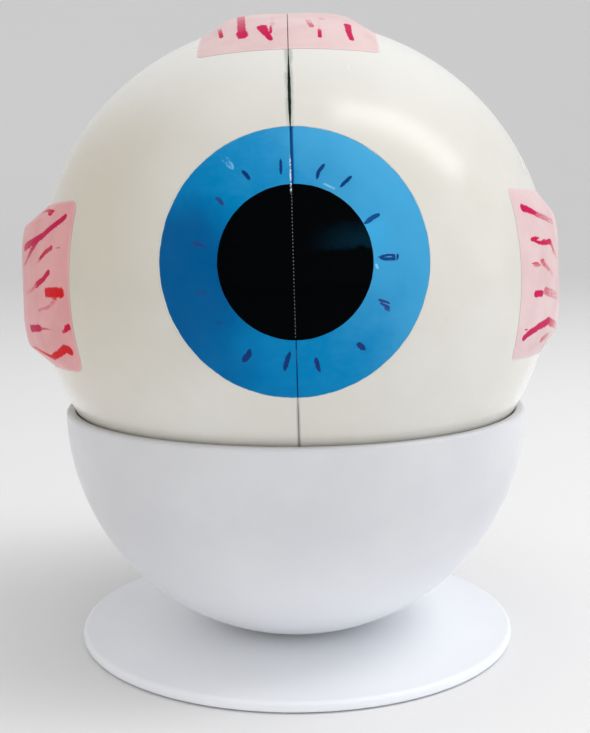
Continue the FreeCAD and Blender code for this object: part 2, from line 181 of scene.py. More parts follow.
def wrapped(grid: Array, closed: bool = True) -> Skin:
    """A grid of points whose last row joins its first one.

    Args:
        grid: Rows by columns by 3.
        closed: Whether the last column joins the first one too.

    Returns:
        The surface.
    """
    index = np.arange(grid.shape[0] * grid.shape[1]).reshape(grid.shape[:2])
    beside = np.roll(index, -1, axis=0)
    corners = np.stack([index, beside, np.roll(beside, -1, axis=1), np.roll(index, -1, axis=1)], axis=-1)
    return Skin(grid.reshape(-1, 3), (corners if closed else corners[:, :-1]).reshape(-1, 4))


def turned(outline: Array, segments: int, closed: bool = True) -> Skin:
    """An outline of (radius, height) pairs carried once round the Z axis: (r cos t, r sin t, h).

    Args:
        outline: The outline's points, in order.
        segments: Steps round the axis.
        closed: True joins the last point to the first; False is for an outline that ends on the axis.

    Returns:
        The turned surface.
    """
    angle = np.arange(segments)[:, None] * 2.0 * np.pi / segments
    radius, height = outline.T[:, None, :]
    return wrapped(points_at(radius * np.cos(angle), radius * np.sin(angle), height), closed)


class Outline:
    """A path in the (radius, height) plane, drawn run by run."""

    def __init__(self, radius: float, height: float) -> None:
        """Start the path at a point."""
        self.points = np.array([[radius, height]])

    def line(self, radius: float, height: float, steps: int) -> "Outline":
        """Go straight to a point, in steps that crowd towards both ends of the run.

        Args:
            radius: Radius of the point.
            height: Height of the point.
            steps: How many steps.

        Returns:
            This path.
        """
        last = self.points[-1]
        run = last + spread(steps + 1, 0.0, 1.0, 0.9)[1:, None] * (np.array([radius, height]) - last)
        self.points = np.concatenate([self.points, run])
        return self

    def arc(self, radius: float, start: float, end: float, steps: int) -> "Outline":
        """Go round an arc, between two directions from its centre that are in degrees from outwards.

        Args:
            radius: Radius of the arc.
            start: Direction of its first point.
            end: Direction of its last point.
            steps: How many steps.

        Returns:
            This path.
        """
        angle = np.radians(np.linspace(start, end, steps + 1))
        ring = radius * np.stack([np.cos(angle), np.sin(angle)], axis=-1)
        self.points = np.concatenate([self.points, self.points[-1] + ring[1:] - ring[0]])
        return self


def merged(skins: Sequence[Skin]) -> Skin:
    """Several surfaces without numbers as one.

    Args:
        skins: The surfaces.

    Returns:
        The one surface.
    """
    offsets = np.cumsum([0] + [len(s.points) for s in skins[:-1]])
    faces = np.concatenate([s.faces + o for s, o in zip(skins, offsets)])
    return Skin(np.concatenate([s.points for s in skins]), faces)


# ---- Where things sit ----


class Side(Enum):
    """Which half of the ball, and the direction in which it parts from the other."""

    NASAL = 1
    TEMPORAL = -1

    @property
    def word(self) -> str:
        """The side's name as bodies, nodes and pieces have it."""
        return self.name.lower()


class Place(Enum):
    """Where a muscle lies on the ball, as the plane that its outline is drawn in."""

    SIDE = "side"
    CROWN = "crown"
    KEEL = "keel"


@dataclass(frozen=True)
class EyeSeat:
    """How the ball sits in the cup: raised gaze, leaning seam, height of its centre."""

    centre_height: float = 106.468
    gaze: float = 7.4
    lean: float = 1.2
    muscle_tip: float = 4.4

    @property
    def turn(self) -> tuple[float, float, float]:
        """Turns about X, Y and Z, in radians, from the eye frame to the stand's frame."""
        return (math.radians(-self.gaze), math.radians(-self.lean), 0.0)

    def seated(self, skin: Skin, tip: float = 0.0) -> Skin:
        """A surface turned into the stand's frame and raised into the cup; tip turns it about X first."""
        turn = Euler(self.turn).to_matrix() @ Euler((math.radians(tip), 0.0, 0.0)).to_matrix()
        return skin.moved(skin.points @ np.array(turn).T + np.array([0.0, 0.0, self.centre_height]))


SEAT = EyeSeat()


def placed(name: str, data: bpy.types.ID) -> bpy.types.Object:
    """A new object in the scene that shows a mesh, lamp or camera.

    Args:
        name: Name of the object.
        data: What it shows.

    Returns:
        The new object.
    """
    thing = bpy.data.objects.new(name, data)
    bpy.context.scene.collection.objects.link(thing)
    return thing


def make_piece(name: str, skin: Skin, crease: float) -> bpy.types.Object:
    """Write a surface into a new object at the origin, welded, closed and with its faces outwards.

    Args:
        name: Name of the object.
        skin: The surface, in the stand's frame.
        crease: Edges that bend by more than this many degrees are drawn sharp.

    Returns:
        The new object.
    """
    mesh = bpy.data.meshes.new(name)
    mesh.vertices.add(len(skin.points))
    mesh.vertices.foreach_set("co", (skin.points * MM).astype(np.float32).ravel())
    mesh.loops.add(skin.faces.size)
    mesh.loops.foreach_set("vertex_index", skin.faces.astype(np.int32).ravel())
    mesh.polygons.add(len(skin.faces))
    mesh.polygons.foreach_set("loop_start", np.arange(0, skin.faces.size, 4, dtype=np.int32))
    mesh.update(calc_edges=True)
    for key, numbers in skin.values.items():
        mesh.attributes.new(key, "FLOAT", "POINT").data.foreach_set("value", numbers.astype(np.float32))
    welded = bmesh.new()
    welded.from_mesh(mesh)
    bmesh.ops.remove_doubles(welded, verts=welded.verts, dist=MM * MM)
    if welded.calc_volume(signed=True) < 0.0:
        bmesh.ops.reverse_faces(welded, faces=welded.faces)
    open_edges = sum(1 for edge in welded.edges if not edge.is_manifold)
    welded.to_mesh(mesh)
    welded.free()
    mesh.shade_smooth()
    mesh.set_sharp_from_angle(angle=math.radians(crease))
    if open_edges:
        LOG.warning("%s has %d open edges", name, open_edges)
    return placed(name, mesh)


def add_piece(
    name: str, skin: Skin, finish: Material, body: str, node: str, crease: float = 38.0
) -> None:
    """Make a piece, give it its finish, put it on its body and let it stand for its plain solid.

    Args:
        name: Name of the object.
        skin: The surface, in the stand's frame.
        finish: Its material.
        body: The body it moves with.
        node: The plain solid it stands for.
        crease: Edges that bend by more than this many degrees are drawn sharp.
    """
    piece = make_piece(name, skin, crease)
    piece.data.materials.append(finish)
    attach(piece, body)
    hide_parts(node)
    low, high = (np.array(corner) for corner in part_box(node))
    corners = np.array([v.co for v in piece.data.vertices])
    over = max((low - corners.min(axis=0)).max(), (corners.max(axis=0) - high).max()) / MM
    LOG.info("%s: %d faces, %.2f mm past its solid", name, len(piece.data.polygons), over)


def repaint(node: str, finish: Material) -> None:
    """Give a solid that is shown as it is its finish.

    Args:
        node: The solid.
        finish: Its material.
    """
    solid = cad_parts[node]
    solid.data.materials.clear()
    solid.data.materials.append(finish)
    LOG.info("%s: repainted", node)


# ---- Painted marks ----


@dataclass(frozen=True)
class Stroke:
    """One pull of a brush: its line, half width, and how loaded the brush was at each end.

    The width changes to taper times itself at the far end.
    """

    line: tuple[tuple[float, float], ...]
    half_width: float
    load: tuple[float, float] = (1.0, 1.0)
    tone: float = 0.0
    taper: float = 1.0


def brush_marks(
    across: Array, along: Array, strokes: Sequence[Stroke], belly: float = 0.0
) -> dict[str, Array]:
    """Numbers from which a paint finish draws brush strokes.

    Each stroke is a chain of straight runs. A point's distance to it over the half width there is its edge
    number: under 1 is inside. The run number is the distance walked along the stroke.

    Args:
        across: First coordinate of the points, in the plane the strokes are drawn in.
        along: Second coordinate.
        strokes: The strokes.
        belly: How much both ends of each stroke thin, as a share of its width.

    Returns:
        The edge, run, load and tone number of the nearest stroke, for each point.
    """
    far_off, next_run = 4.0, 7.3
    best = np.full(across.shape, far_off)
    run, load, tone = (np.zeros(across.shape) for _ in range(3))
    for number, stroke in enumerate(strokes):
        line = np.array(stroke.line)
        lengths = np.hypot(*np.diff(line, axis=0).T)
        total, walked = lengths.sum(), 0.0
        for start, end, length in zip(line[:-1], line[1:], lengths):
            step = (end - start) / length
            t = np.clip((across - start[0]) * step[0] + (along - start[1]) * step[1], 0.0, length)
            gap = np.hypot(across - start[0] - t * step[0], along - start[1] - t * step[1])
            share = (walked + t) / total
            swell = 1.0 - belly * (2.0 * share - 1.0) ** 4
            edge = gap / (stroke.half_width * (1.0 + (stroke.taper - 1.0) * share) * swell)
            near = edge < best
            best = np.where(near, edge, best)
            run = np.where(near, walked + t + next_run * number, run)
            load = np.where(near, stroke.load[0] + (stroke.load[1] - stroke.load[0]) * share, load)
            tone = np.where(near, stroke.tone, tone)
            walked += length
    return {"brush_edge": best, "brush_run": run, "brush_load": load, "brush_tone": tone}


IRIS_STROKES: tuple[Stroke, ...] = (
    Stroke(((-2.5, 24.5), (-2.5, 20.5)), 0.38, (1.0, 0.8)),
    Stroke(((-12.0, 22.0), (-11.0, 21.0), (-10.0, 19.5)), 0.50, (0.9, 0.9)),
    Stroke(((-18.5, 15.5), (-17.5, 15.0), (-16.5, 13.5)), 0.55, (0.55, 0.7), 0.6),
    Stroke(((-24.5, 5.0), (-23.0, 4.5), (-21.0, 3.5)), 0.45, (0.5, 0.5), 0.7),
    Stroke(((-23.5, -7.0), (-21.0, -7.5)), 0.45, (0.45, 0.4), 0.7),
    Stroke(((-19.5, -14.5), (-18.0, -14.5), (-16.5, -15.0)), 0.45, (0.4, 0.3), 0.4),
    Stroke(((-11.0, -21.0), (-11.5, -22.5), (-13.0, -24.0)), 0.62, (0.8, 0.9), 0.1, 1.4),
    Stroke(((-1.5, -22.0), (-2.5, -24.5), (-3.0, -26.5)), 0.60, (0.8, 0.85), 0.1),
    Stroke(((4.5, -23.5), (5.0, -25.5), (5.5, -27.0)), 0.62, (0.85, 0.85), 0.2, 0.8),
    Stroke(((14.5, -20.5), (15.5, -21.0), (16.5, -22.0)), 0.72, (0.9, 0.9), 0.3),
    Stroke(((19.5, -10.0), (23.0, -11.0)), 0.32, (0.7, 0.8), 0.6),
    Stroke(((20.0, -11.0), (23.0, -12.0)), 0.30, (0.7, 0.8), 0.6),
    Stroke(((21.0, -12.0), (23.0, -13.0)), 0.28, (0.6, 0.7), 0.6),
    Stroke(((20.0, 0.0), (22.5, 0.5), (25.0, 0.5)), 0.32, (0.9, 0.9), 0.1),
    Stroke(((20.5, -0.5), (22.5, -0.5), (25.0, -0.5)), 0.34, (0.9, 0.9), 0.1),
    Stroke(((25.0, 1.0), (25.0, -0.5)), 0.26, (0.8, 0.8), 0.1),
    Stroke(((17.0, 8.0), (19.0, 9.5), (21.0, 10.5)), 0.55, (0.95, 0.95), 0.0, 1.1),
    Stroke(((11.5, 17.0), (13.0, 18.5), (14.5, 20.0)), 0.42, (1.0, 1.0), 0.0, 1.1),
    Stroke(((6.0, 19.0), (6.5, 21.0), (8.0, 23.0)), 0.40, (0.9, 0.9), 0.0, 1.3),
    # Painted highlights: the three strokes of tone 2 are pale glints that stand for light caught by the
    # gloss.
    Stroke(((-17.0, 26.5), (-15.5, 24.5), (-14.0, 22.5)), 0.95, (0.15, 0.42), 2.0, 0.8),
    Stroke(((19.5, -1.5), (20.0, -3.0)), 0.28, (0.6, 0.5), 2.0),
    Stroke(((7.5, 18.0), (10.5, 16.5)), 0.28, (0.5, 0.35), 2.0),
)

# Muscle strokes are (across, along): up or towards the nose, and back from the ball's centre.
LATERAL_STROKES: tuple[Stroke, ...] = (
    Stroke(((20.5, -23.0), (21.0, -26.0), (20.5, -32.5)), 0.42, (0.5, 0.9), 0.2),
    Stroke(((20.0, -30.0), (19.5, -32.5), (20.5, -33.5)), 0.36, (0.9, 0.9), 0.2),
    Stroke(
        ((18.5, -41.0), (17.5, -39.0), (16.0, -35.0), (14.0, -30.5), (13.0, -26.0), (11.0, -15.5)),
        0.88, (1.0, 0.7), 0.08, 1.35,
    ),
    Stroke(((13.0, -27.5), (10.0, -23.0), (7.0, -18.0), (5.0, -11.5)), 0.95, (0.85, 0.25), 0.1, 0.55),
    Stroke(((10.5, -37.0), (9.5, -34.0), (7.5, -30.0)), 0.75, (0.7, 0.8), 0.3, 0.9),
    Stroke(((7.5, -30.0), (5.0, -26.0)), 0.55, (0.4, 0.1), 0.2, 0.8),
    Stroke(((10.5, -41.5), (10.5, -39.5)), 0.32, (0.5, 0.35), 0.4),
    Stroke(((4.0, -36.5), (2.0, -33.0), (0.5, -28.0)), 0.82, (1.0, 0.9), 0.35, 1.1),
    Stroke(((0.5, -28.0), (-1.0, -23.5), (-2.5, -14.5)), 0.65, (0.5, 0.2), 0.2, 0.8),
    Stroke(((-1.5, -35.0), (-1.5, -43.0)), 1.42, (0.95, 1.0), 1.0),
    Stroke(((-3.5, -40.0), (-5.5, -35.5), (-6.5, -28.5)), 0.55, (0.35, 0.45), 0.3, 0.8),
    Stroke(((-12.0, -19.0), (-11.5, -27.0)), 1.10, (0.9, 1.0), 0.05, 0.9),
    Stroke(((-11.5, -27.0), (-11.5, -36.0)), 0.46, (0.7, 0.35), 0.2, 0.6),
    Stroke(((-12.0, -41.0), (-11.5, -43.0)), 0.45, (0.6, 0.9), 0.6),
    Stroke(((-11.0, -43.0), (-10.5, -44.5)), 0.85, (0.85, 0.95), 0.5),
    Stroke(((-17.0, -42.0), (-16.5, -40.0), (-18.0, -36.0), (-19.5, -30.5)), 1.30, (1.0, 1.0), 0.95, 0.62),
    Stroke(((-19.5, -30.0), (-18.5, -24.0), (-17.5, -18.0), (-18.0, -12.0)), 0.55, (0.85, 0.25), 0.8, 0.7),
    Stroke(((6.0, 4.0), (3.0, 14.0), (1.0, 20.0)), 0.90, (0.9, 0.4), 0.15, 0.7),
    Stroke(((16.0, 3.0), (15.0, 12.0), (12.5, 18.0)), 0.95, (1.0, 0.5), 0.1, 0.8),
    Stroke(((-9.0, 0.0), (-9.5, 10.0)), 1.10, (1.0, 0.8), 0.9, 0.8),
    Stroke(((-16.5, 5.0), (-15.0, 15.0), (-14.0, 24.0)), 0.80, (0.9, 0.35), 0.3, 0.7),
    Stroke(((9.5, 22.0), (8.0, 33.0)), 0.80, (0.9, 0.4), 0.2, 0.8),
    Stroke(((-3.5, 19.0), (-5.0, 32.0)), 0.95, (1.0, 0.45), 0.7, 0.7),
)

MEDIAL_STROKES: tuple[Stroke, ...] = (
    Stroke(((17.5, -40.5), (17.0, -37.5), (16.0, -33.5)), 1.12, (1.0, 1.0), 0.0, 0.75),
    Stroke(((16.0, -34.0), (15.0, -27.5), (14.0, -19.5)), 0.85, (0.6, 0.35), 0.0, 0.9),
    Stroke(((10.0, -40.5), (9.0, -31.5)), 0.24, (0.8, 0.7), 0.25, 1.2),
    Stroke(((9.0, -40.0), (8.0, -34.0), (8.5, -26.5)), 0.42, (0.9, 0.95), 0.05, 2.0),
    Stroke(((8.0, -26.0), (6.0, -24.0), (4.0, -19.5)), 0.95, (0.6, 0.25), 0.0, 0.8),
    Stroke(((2.5, -41.5), (3.0, -37.5), (4.0, -32.5)), 0.27, (0.7, 0.6), 0.35),
    Stroke(((1.5, -41.5), (2.5, -35.0)), 0.32, (0.35, 0.6), 0.1, 1.2),
    Stroke(((2.5, -34.0), (1.0, -30.0), (-0.5, -26.5), (-3.0, -22.0)), 0.72, (0.55, 0.12), 0.1, 0.9),
    Stroke(((-5.5, -39.0), (-5.5, -35.0)), 0.95, (1.0, 1.0), 0.05),
    Stroke(((-5.0, -32.5), (-7.0, -20.0)), 1.15, (0.55, 0.3), 0.05),
    Stroke(((-17.0, -41.5), (-16.0, -39.5), (-14.5, -34.0), (-13.5, -27.0)), 0.88, (1.0, 0.95), 0.0, 1.42),
    Stroke(((-14.0, -25.0), (-16.0, -12.5)), 1.15, (0.65, 0.3), 0.0, 0.8),
    Stroke(((-14.5, -42.5), (-15.0, -40.5)), 0.22, (0.8, 0.6), 0.2),
    Stroke(((-18.5, -29.5), (-17.5, -25.0)), 0.90, (0.55, 0.4), 0.1),
    Stroke(((-20.0, -36.0), (-19.5, -32.0)), 0.80, (0.2, 0.15), 0.1),
    Stroke(((11.0, -10.0), (9.5, 0.0), (7.0, 8.0)), 1.00, (1.0, 0.5), 0.1, 0.7),
    Stroke(((-3.5, -8.0), (-4.0, 2.0)), 1.20, (1.0, 0.8), 0.0, 0.8),
    Stroke(((17.0, -2.0), (16.5, 9.0)), 0.70, (0.9, 0.35), 0.3, 0.7),
    Stroke(((-12.5, -3.0), (-14.5, 8.0)), 0.90, (0.95, 0.45), 0.05, 0.8),
    Stroke(((3.5, 14.0), (1.5, 28.0)), 0.90, (1.0, 0.35), 0.1, 0.7),
    Stroke(((-9.0, 17.0), (-8.0, 31.0)), 1.00, (0.95, 0.4), 0.2, 0.7),
    Stroke(((12.5, 19.0), (11.0, 30.0)), 0.80, (0.9, 0.4), 0.0, 0.8),
)

SUPERIOR_STROKES: tuple[Stroke, ...] = (
    Stroke(((-19.0, -22.5), (-18.0, -31.5)), 0.50, (0.4, 0.95), 0.1, 1.2),
    Stroke(((-19.5, -14.0), (-18.0, -13.5)), 0.50, (0.2, 0.15), 0.1),
    Stroke(((-12.5, -32.0), (-12.0, -35.0)), 1.50, (1.0, 1.0)),
    Stroke(((-12.5, -30.5), (-13.0, -19.0), (-13.5, -9.0)), 1.2, (0.75, 0.45), 0.0, 0.9),
    Stroke(((-7.0, -30.5), (-6.0, -35.0), (-4.5, -39.5)), 1.50, (0.95, 1.0), 0.0, 0.45),
    Stroke(((-4.5, -30.5), (-4.5, -35.5)), 0.38, (0.5, 0.9)),
    Stroke(((-4.5, -17.5), (-4.0, -29.5)), 0.55, (0.15, 0.3), 0.1),
    Stroke(((5.5, -26.0), (6.5, -31.5)), 0.80, (0.35, 0.6), 0.0, 0.9),
    Stroke(((8.5, -33.5), (8.5, -38.0)), 0.55, (0.7, 0.95), 0.1),
    Stroke(((9.0, -23.0), (10.0, -24.0)), 0.70, (0.4, 0.3), 0.1),
    Stroke(((8.5, -25.0), (8.5, -33.0)), 0.35, (0.3, 0.3), 0.1),
    Stroke(((16.5, -25.0), (16.5, -31.5), (17.0, -36.0)), 1.05, (0.95, 1.0), 0.05, 0.72),
    Stroke(((13.0, -6.0), (12.0, 5.0)), 0.95, (1.0, 0.45), 0.0, 0.8),
    Stroke(((3.5, -5.0), (4.5, 8.0)), 0.80, (0.9, 0.4), 0.3, 0.7),
    Stroke(((-9.5, -6.0), (-8.5, 8.0)), 1.00, (1.0, 0.5), 0.0, 0.8),
    Stroke(((-17.0, 3.0), (-16.0, 15.0)), 0.90, (0.95, 0.35), 0.2, 0.7),
    Stroke(((8.5, 12.0), (10.0, 26.0)), 0.95, (1.0, 0.4), 0.1, 0.8),
    Stroke(((17.5, 4.0), (17.0, 14.0)), 0.70, (0.9, 0.4), 0.0, 0.8),
    Stroke(((-5.0, 17.0), (-6.0, 30.0)), 0.85, (0.95, 0.35), 0.1, 0.8),
)

INFERIOR_STROKES: tuple[Stroke, ...] = tuple(
    replace(stroke, line=tuple((-x, y) for x, y in stroke.line)) for stroke in SUPERIOR_STROKES
)


# ---- Nodes ----


class Value:
    """One output of a node, with arithmetic that adds more nodes to its own sheet."""

    def __init__(self, sheet: "NodeSheet", socket: bpy.types.NodeSocket) -> None:
        """Keep the output and the sheet that it is on."""
        self.sheet = sheet
        self.socket = socket

    def __add__(self, other: object) -> "Value":
        """This plus another value."""
        return self.sheet.math("ADD", self, other)

    def __sub__(self, other: object) -> "Value":
        """This less another value."""
        return self.sheet.math("SUBTRACT", self, other)

    def __rsub__(self, other: object) -> "Value":
        """A number less this."""
        return self.sheet.math("SUBTRACT", other, self)

    def __mul__(self, other: object) -> "Value":
        """This times another value."""
        return self.sheet.math("MULTIPLY", self, other)

    def __truediv__(self, other: object) -> "Value":
        """This over another value."""
        return self.sheet.math("DIVIDE", self, other)

    def __abs__(self) -> "Value":
        """This without its sign."""
        return self.sheet.math("ABSOLUTE", self)

    def step(self, low: float, high: float, start: float = 0.0, end: float = 1.0) -> "Value":
        """Smooth step of this value: start up to low, end from high."""
        inputs = {"Value": self, "From Min": low, "From Max": high, "To Min": start, "To Max": end}
        return self.sheet.add("ShaderNodeMapRange", inputs, interpolation_type="SMOOTHSTEP")

    def fade(self, low: float, high: float, start: float = 1.0) -> "Value":
        """Smooth step down to nothing: start up to low, 0 from high."""
        return self.step(low, high, start, 0.0)


class NodeSheet:
    """A short way to add nodes to one node tree and join them."""

    def __init__(self, tree: bpy.types.NodeTree) -> None:
        """Keep the tree that nodes are added to."""
        self.tree = tree

    def node(self, kind: str, inputs: dict[str | int, object], **settings: object) -> bpy.types.Node:
        """Add a node, set its options, and set or join its inputs.

        Args:
            kind: The node's type.
            inputs: A number, colour or value for each input.
            settings: The node's own options.

        Returns:
            The new node.
        """
        node = self.tree.nodes.new(kind)
        for key, value in settings.items():
            setattr(node, key, value)
        for key, value in inputs.items():
            self.join(node.inputs[key], value)
        return node

    def add(
        self,
        kind: str,
        inputs: dict[str | int, object] | None = None,
        output: str | int = 0,
        **settings: object,
    ) -> Value:
        """Add a node and hand on one of its outputs.

        Args:
            kind: The node's type.
            inputs: A number, colour or value for each input.
            output: The output that is wanted.
            settings: The node's own options.

        Returns:
            The value of that output.
        """
        return Value(self, self.node(kind, inputs or {}, **settings).outputs[output])

    def join(self, socket: bpy.types.NodeSocket, value: object) -> None:
        """Link an output to a socket, or set the socket to a plain number or colour.

        Args:
            socket: The input.
            value: The output, number or colour.
        """
        if isinstance(value, Value):
            self.tree.links.new(value.socket, socket)
        elif isinstance(value, tuple) and socket.type == "RGBA":
            socket.default_value = (*value, 1.0)
        else:
            socket.default_value = value

    def outputs(self, node: bpy.types.Node) -> dict[str, Value]:
        """All outputs of a node by name."""
        return {socket.name: Value(self, socket) for socket in node.outputs}

    def math(self, operation: str, a: object, b: object = 0.0, c: object = 0.0, clamp: bool = False) -> Value:
        """The value of one Math node."""
        return self.add("ShaderNodeMath", {0: a, 1: b, 2: c}, operation=operation, use_clamp=clamp)

    def vector(self, operation: str, a: object, b: object = (0.0, 0.0, 0.0)) -> Value:
        """One Vector Math node: its number where it measures something, or else its vector."""
        measures = operation in ("DOT_PRODUCT", "DISTANCE", "LENGTH")
        return self.add("ShaderNodeVectorMath", {0: a, 1: b}, int(measures), operation=operation)

    def blend(self, share: Value, first: object, second: object) -> Value:
        """Two colours mixed by a share."""
        return self.add("ShaderNodeMix", {0: share, 6: first, 7: second}, 2, data_type="RGBA")

    def layered(self, ground: object, *layers: tuple[Value, object]) -> Value:
        """A ground colour with more colours laid over it in turn, each through its own mask."""
        for mask, colour in layers:
            ground = self.blend(mask, ground, colour)
        return ground

    def noise(self, vector: Value, scale: object, detail: float = 2.0, rough: float = 0.5) -> Value:
        """Cloudy noise from 0 to 1 over a position."""
        inputs = {"Vector": vector, "Scale": scale, "Detail": detail, "Roughness": rough}
        return self.add("ShaderNodeTexNoise", inputs)

    def stretched(self, vector: Value, scale: tuple[float, float, float]) -> Value:
        """A position scaled by its own factor along each axis."""
        return self.vector("MULTIPLY", vector, scale)

    def number(self, name: str) -> Value:
        """A number carried by the piece's own points."""
        return self.add("ShaderNodeAttribute", output="Fac", attribute_name=name)

    def parts(self, vector: Value) -> tuple[Value, ...]:
        """A position's X, Y and Z."""
        return tuple(self.outputs(self.node("ShaderNodeSeparateXYZ", {0: vector})).values())

    def own_position(self) -> Value:
        """Position in the piece's own coordinates, in metres."""
        return self.add("ShaderNodeTexCoord", output="Object")

    def eye_position(self) -> Value:
        """Position in the eye frame, in millimetres.

        Returns:
            The position.
        """
        centre = (0.0, 0.0, SEAT.centre_height * MM)
        inputs = {0: self.own_position(), 1: centre, 2: SEAT.turn, 3: (MM, MM, MM)}
        return self.add("ShaderNodeMapping", inputs, vector_type="TEXTURE")

    def stand_position(self) -> Value:
        """Position in the stand's frame, in millimetres."""
        return self.add("ShaderNodeMapping", {0: self.own_position(), 3: (1.0 / MM, 1.0 / MM, 1.0 / MM)})

    def group(self, tree: bpy.types.NodeTree, **inputs: object) -> dict[str, Value]:
        """One of the shared effects, with its own values; underscores stand for spaces in the names."""
        named = {name.replace("_", " "): value for name, value in inputs.items()}
        return self.outputs(self.node("ShaderNodeGroup", named, node_tree=tree))

    def brush(self, position: Value) -> dict[str, Value]:
        """The brush strokes that the piece's points carry: their cover, depth and tone."""
        edge, run, load, tone = (self.number("brush_" + name) for name in ("edge", "run", "load", "tone"))
        return {"Tone": tone, **self.group(BRUSH_PAINT, Position=position, Edge=edge, Run=run, Load=load)}


class EffectSheet(NodeSheet):
    """A shared effect: a node group with named inputs and number outputs."""

    def __init__(self, name: str, **inputs: float | tuple[float, float, float]) -> None:
        """Start the group; a value of three numbers makes a position input.

        Args:
            name: Name of the group.
            inputs: What each input starts at; underscores stand for spaces.
        """
        super().__init__(bpy.data.node_groups.new(name, "ShaderNodeTree"))
        for key, value in inputs.items():
            kind = "NodeSocketVector" if isinstance(value, tuple) else "NodeSocketFloat"
            socket = self.tree.interface.new_socket(key.replace("_", " "), in_out="INPUT", socket_type=kind)
            socket.default_value = value
        self.given = self.outputs(self.tree.nodes.new("NodeGroupInput"))

    def finished(self, **outputs: Value) -> bpy.types.NodeTree:
        """The group, putting out these values.

        Args:
            outputs: The values, under the names of the outputs.

        Returns:
            The group.
        """
        for key in outputs:
            self.tree.interface.new_socket(key, in_out="OUTPUT", socket_type="NodeSocketFloat")
        result = self.tree.nodes.new("NodeGroupOutput")
        for key, value in outputs.items():
            self.join(result.inputs[key], value)
        return self.tree


class FinishSheet(NodeSheet):
    """A new material: one Principled BSDF joined to the output, and the nodes that feed it."""

    def __init__(self, name: str, **constants: float | Colour) -> None:
        """Start the material and set the shader's constant sockets.

        Args:
            name: Name of the material.
            constants: The constants; underscores stand for spaces.
        """
        self.material = bpy.data.materials.new(name)
        self.material.use_nodes = True
        super().__init__(self.material.node_tree)
        self.shader = self.tree.nodes["Principled BSDF"]
        self.surface(**constants)

    def surface(self, **sockets: object) -> None:
        """Set or join sockets of the shader; underscores stand for spaces in their names."""
        for name, value in sockets.items():
            self.join(self.shader.inputs[name.replace("_", " ")], value)

    def relief(self, height: Value, depth: float, strength: float = 0.5) -> None:
        """Drive the shader's normal with a Bump node; depth is the height of the relief in millimetres."""
        inputs = {"Height": height, "Distance": depth * MM, "Strength": strength}
        self.surface(Normal=self.add("ShaderNodeBump", inputs))


def moulded_skin() -> bpy.types.NodeTree:
    """Shared effect of sprayed or moulded plastic: soft mottling, fine orange peel, hairlines and dust.

    Returns:
        The node group.
    """
    start = {"Position": (0.0, 0.0, 0.0), "Mottle_Size": 40.0, "Peel_Size": 3.0, "Dust": 0.5}
    sheet = EffectSheet("moulded skin", **start)
    position = sheet.given["Position"]
    broad = sheet.noise(position, sheet.math("DIVIDE", 1.0, sheet.given["Mottle Size"]), 4.0, 0.55)
    peel = sheet.noise(position, sheet.math("DIVIDE", 1.0, sheet.given["Peel Size"]), 2.0, 0.45)
    height = sheet.noise(position, 2.2) * 0.12 + peel
    rubbed = sheet.noise(sheet.stretched(position, (0.9, 0.06, 0.05)), 1.0, 2.0, 0.7).step(0.70, 0.76)
    crossed = sheet.noise(sheet.stretched(position, (0.05, 0.07, 1.1)), 1.0, 2.0, 0.7).step(0.71, 0.77)
    lines = sheet.math("MAXIMUM", rubbed, crossed)
    cells = sheet.add("ShaderNodeTexVoronoi", {"Vector": position, "Scale": 0.16}, "Distance")
    spots = (1.0 - cells.step(0.02, 0.035)) * sheet.given["Dust"]
    return sheet.finished(Mottle=broad.step(0.3, 0.7), Height=height, Hairlines=lines, Dust=spots)


def brush_paint() -> bpy.types.NodeTree:
    """Shared effect of a brush stroke: wavering edges, bristle streaks and a dry, broken end.

    Returns:
        The node group.
    """
    sheet = EffectSheet("brush paint", Position=(0.0, 0.0, 0.0), Edge=4.0, Run=0.0, Load=1.0)
    position, edge, run, load = (sheet.given[name] for name in ("Position", "Edge", "Run", "Load"))
    waver = sheet.noise(position, 1.1, 4.0, 0.7) * 1.1 - 0.55
    inside = (edge + waver).fade(0.86, 1.12)
    bristle = sheet.add("ShaderNodeCombineXYZ", {0: edge * 2.4, 1: run * 0.22})
    streak = sheet.noise(bristle, 1.6, 3.0, 0.7)
    patchy = sheet.noise(position, 1.7, 3.0, 0.7) * 0.45 + streak * 0.55
    worn = (1.0 - load) * 0.50 + 0.12
    loaded = (patchy - worn).step(-0.05, 0.16)
    thin = sheet.math("MULTIPLY_ADD", load, 0.9, 0.28, clamp=True)
    cover = inside * loaded * thin
    return sheet.finished(Cover=cover, Depth=cover * streak)


MOULDED_SKIN = moulded_skin()
BRUSH_PAINT = brush_paint()


def rgb(red: int, green: int, blue: int) -> Colour:
    """A colour given as it looks on a screen, as linear light."""
    shares = (red / 255.0, green / 255.0, blue / 255.0)
    return tuple(c / 12.92 if c <= 0.04045 else ((c + 0.055) / 1.055) ** 2.4 for c in shares)


# ---- Finishes ----


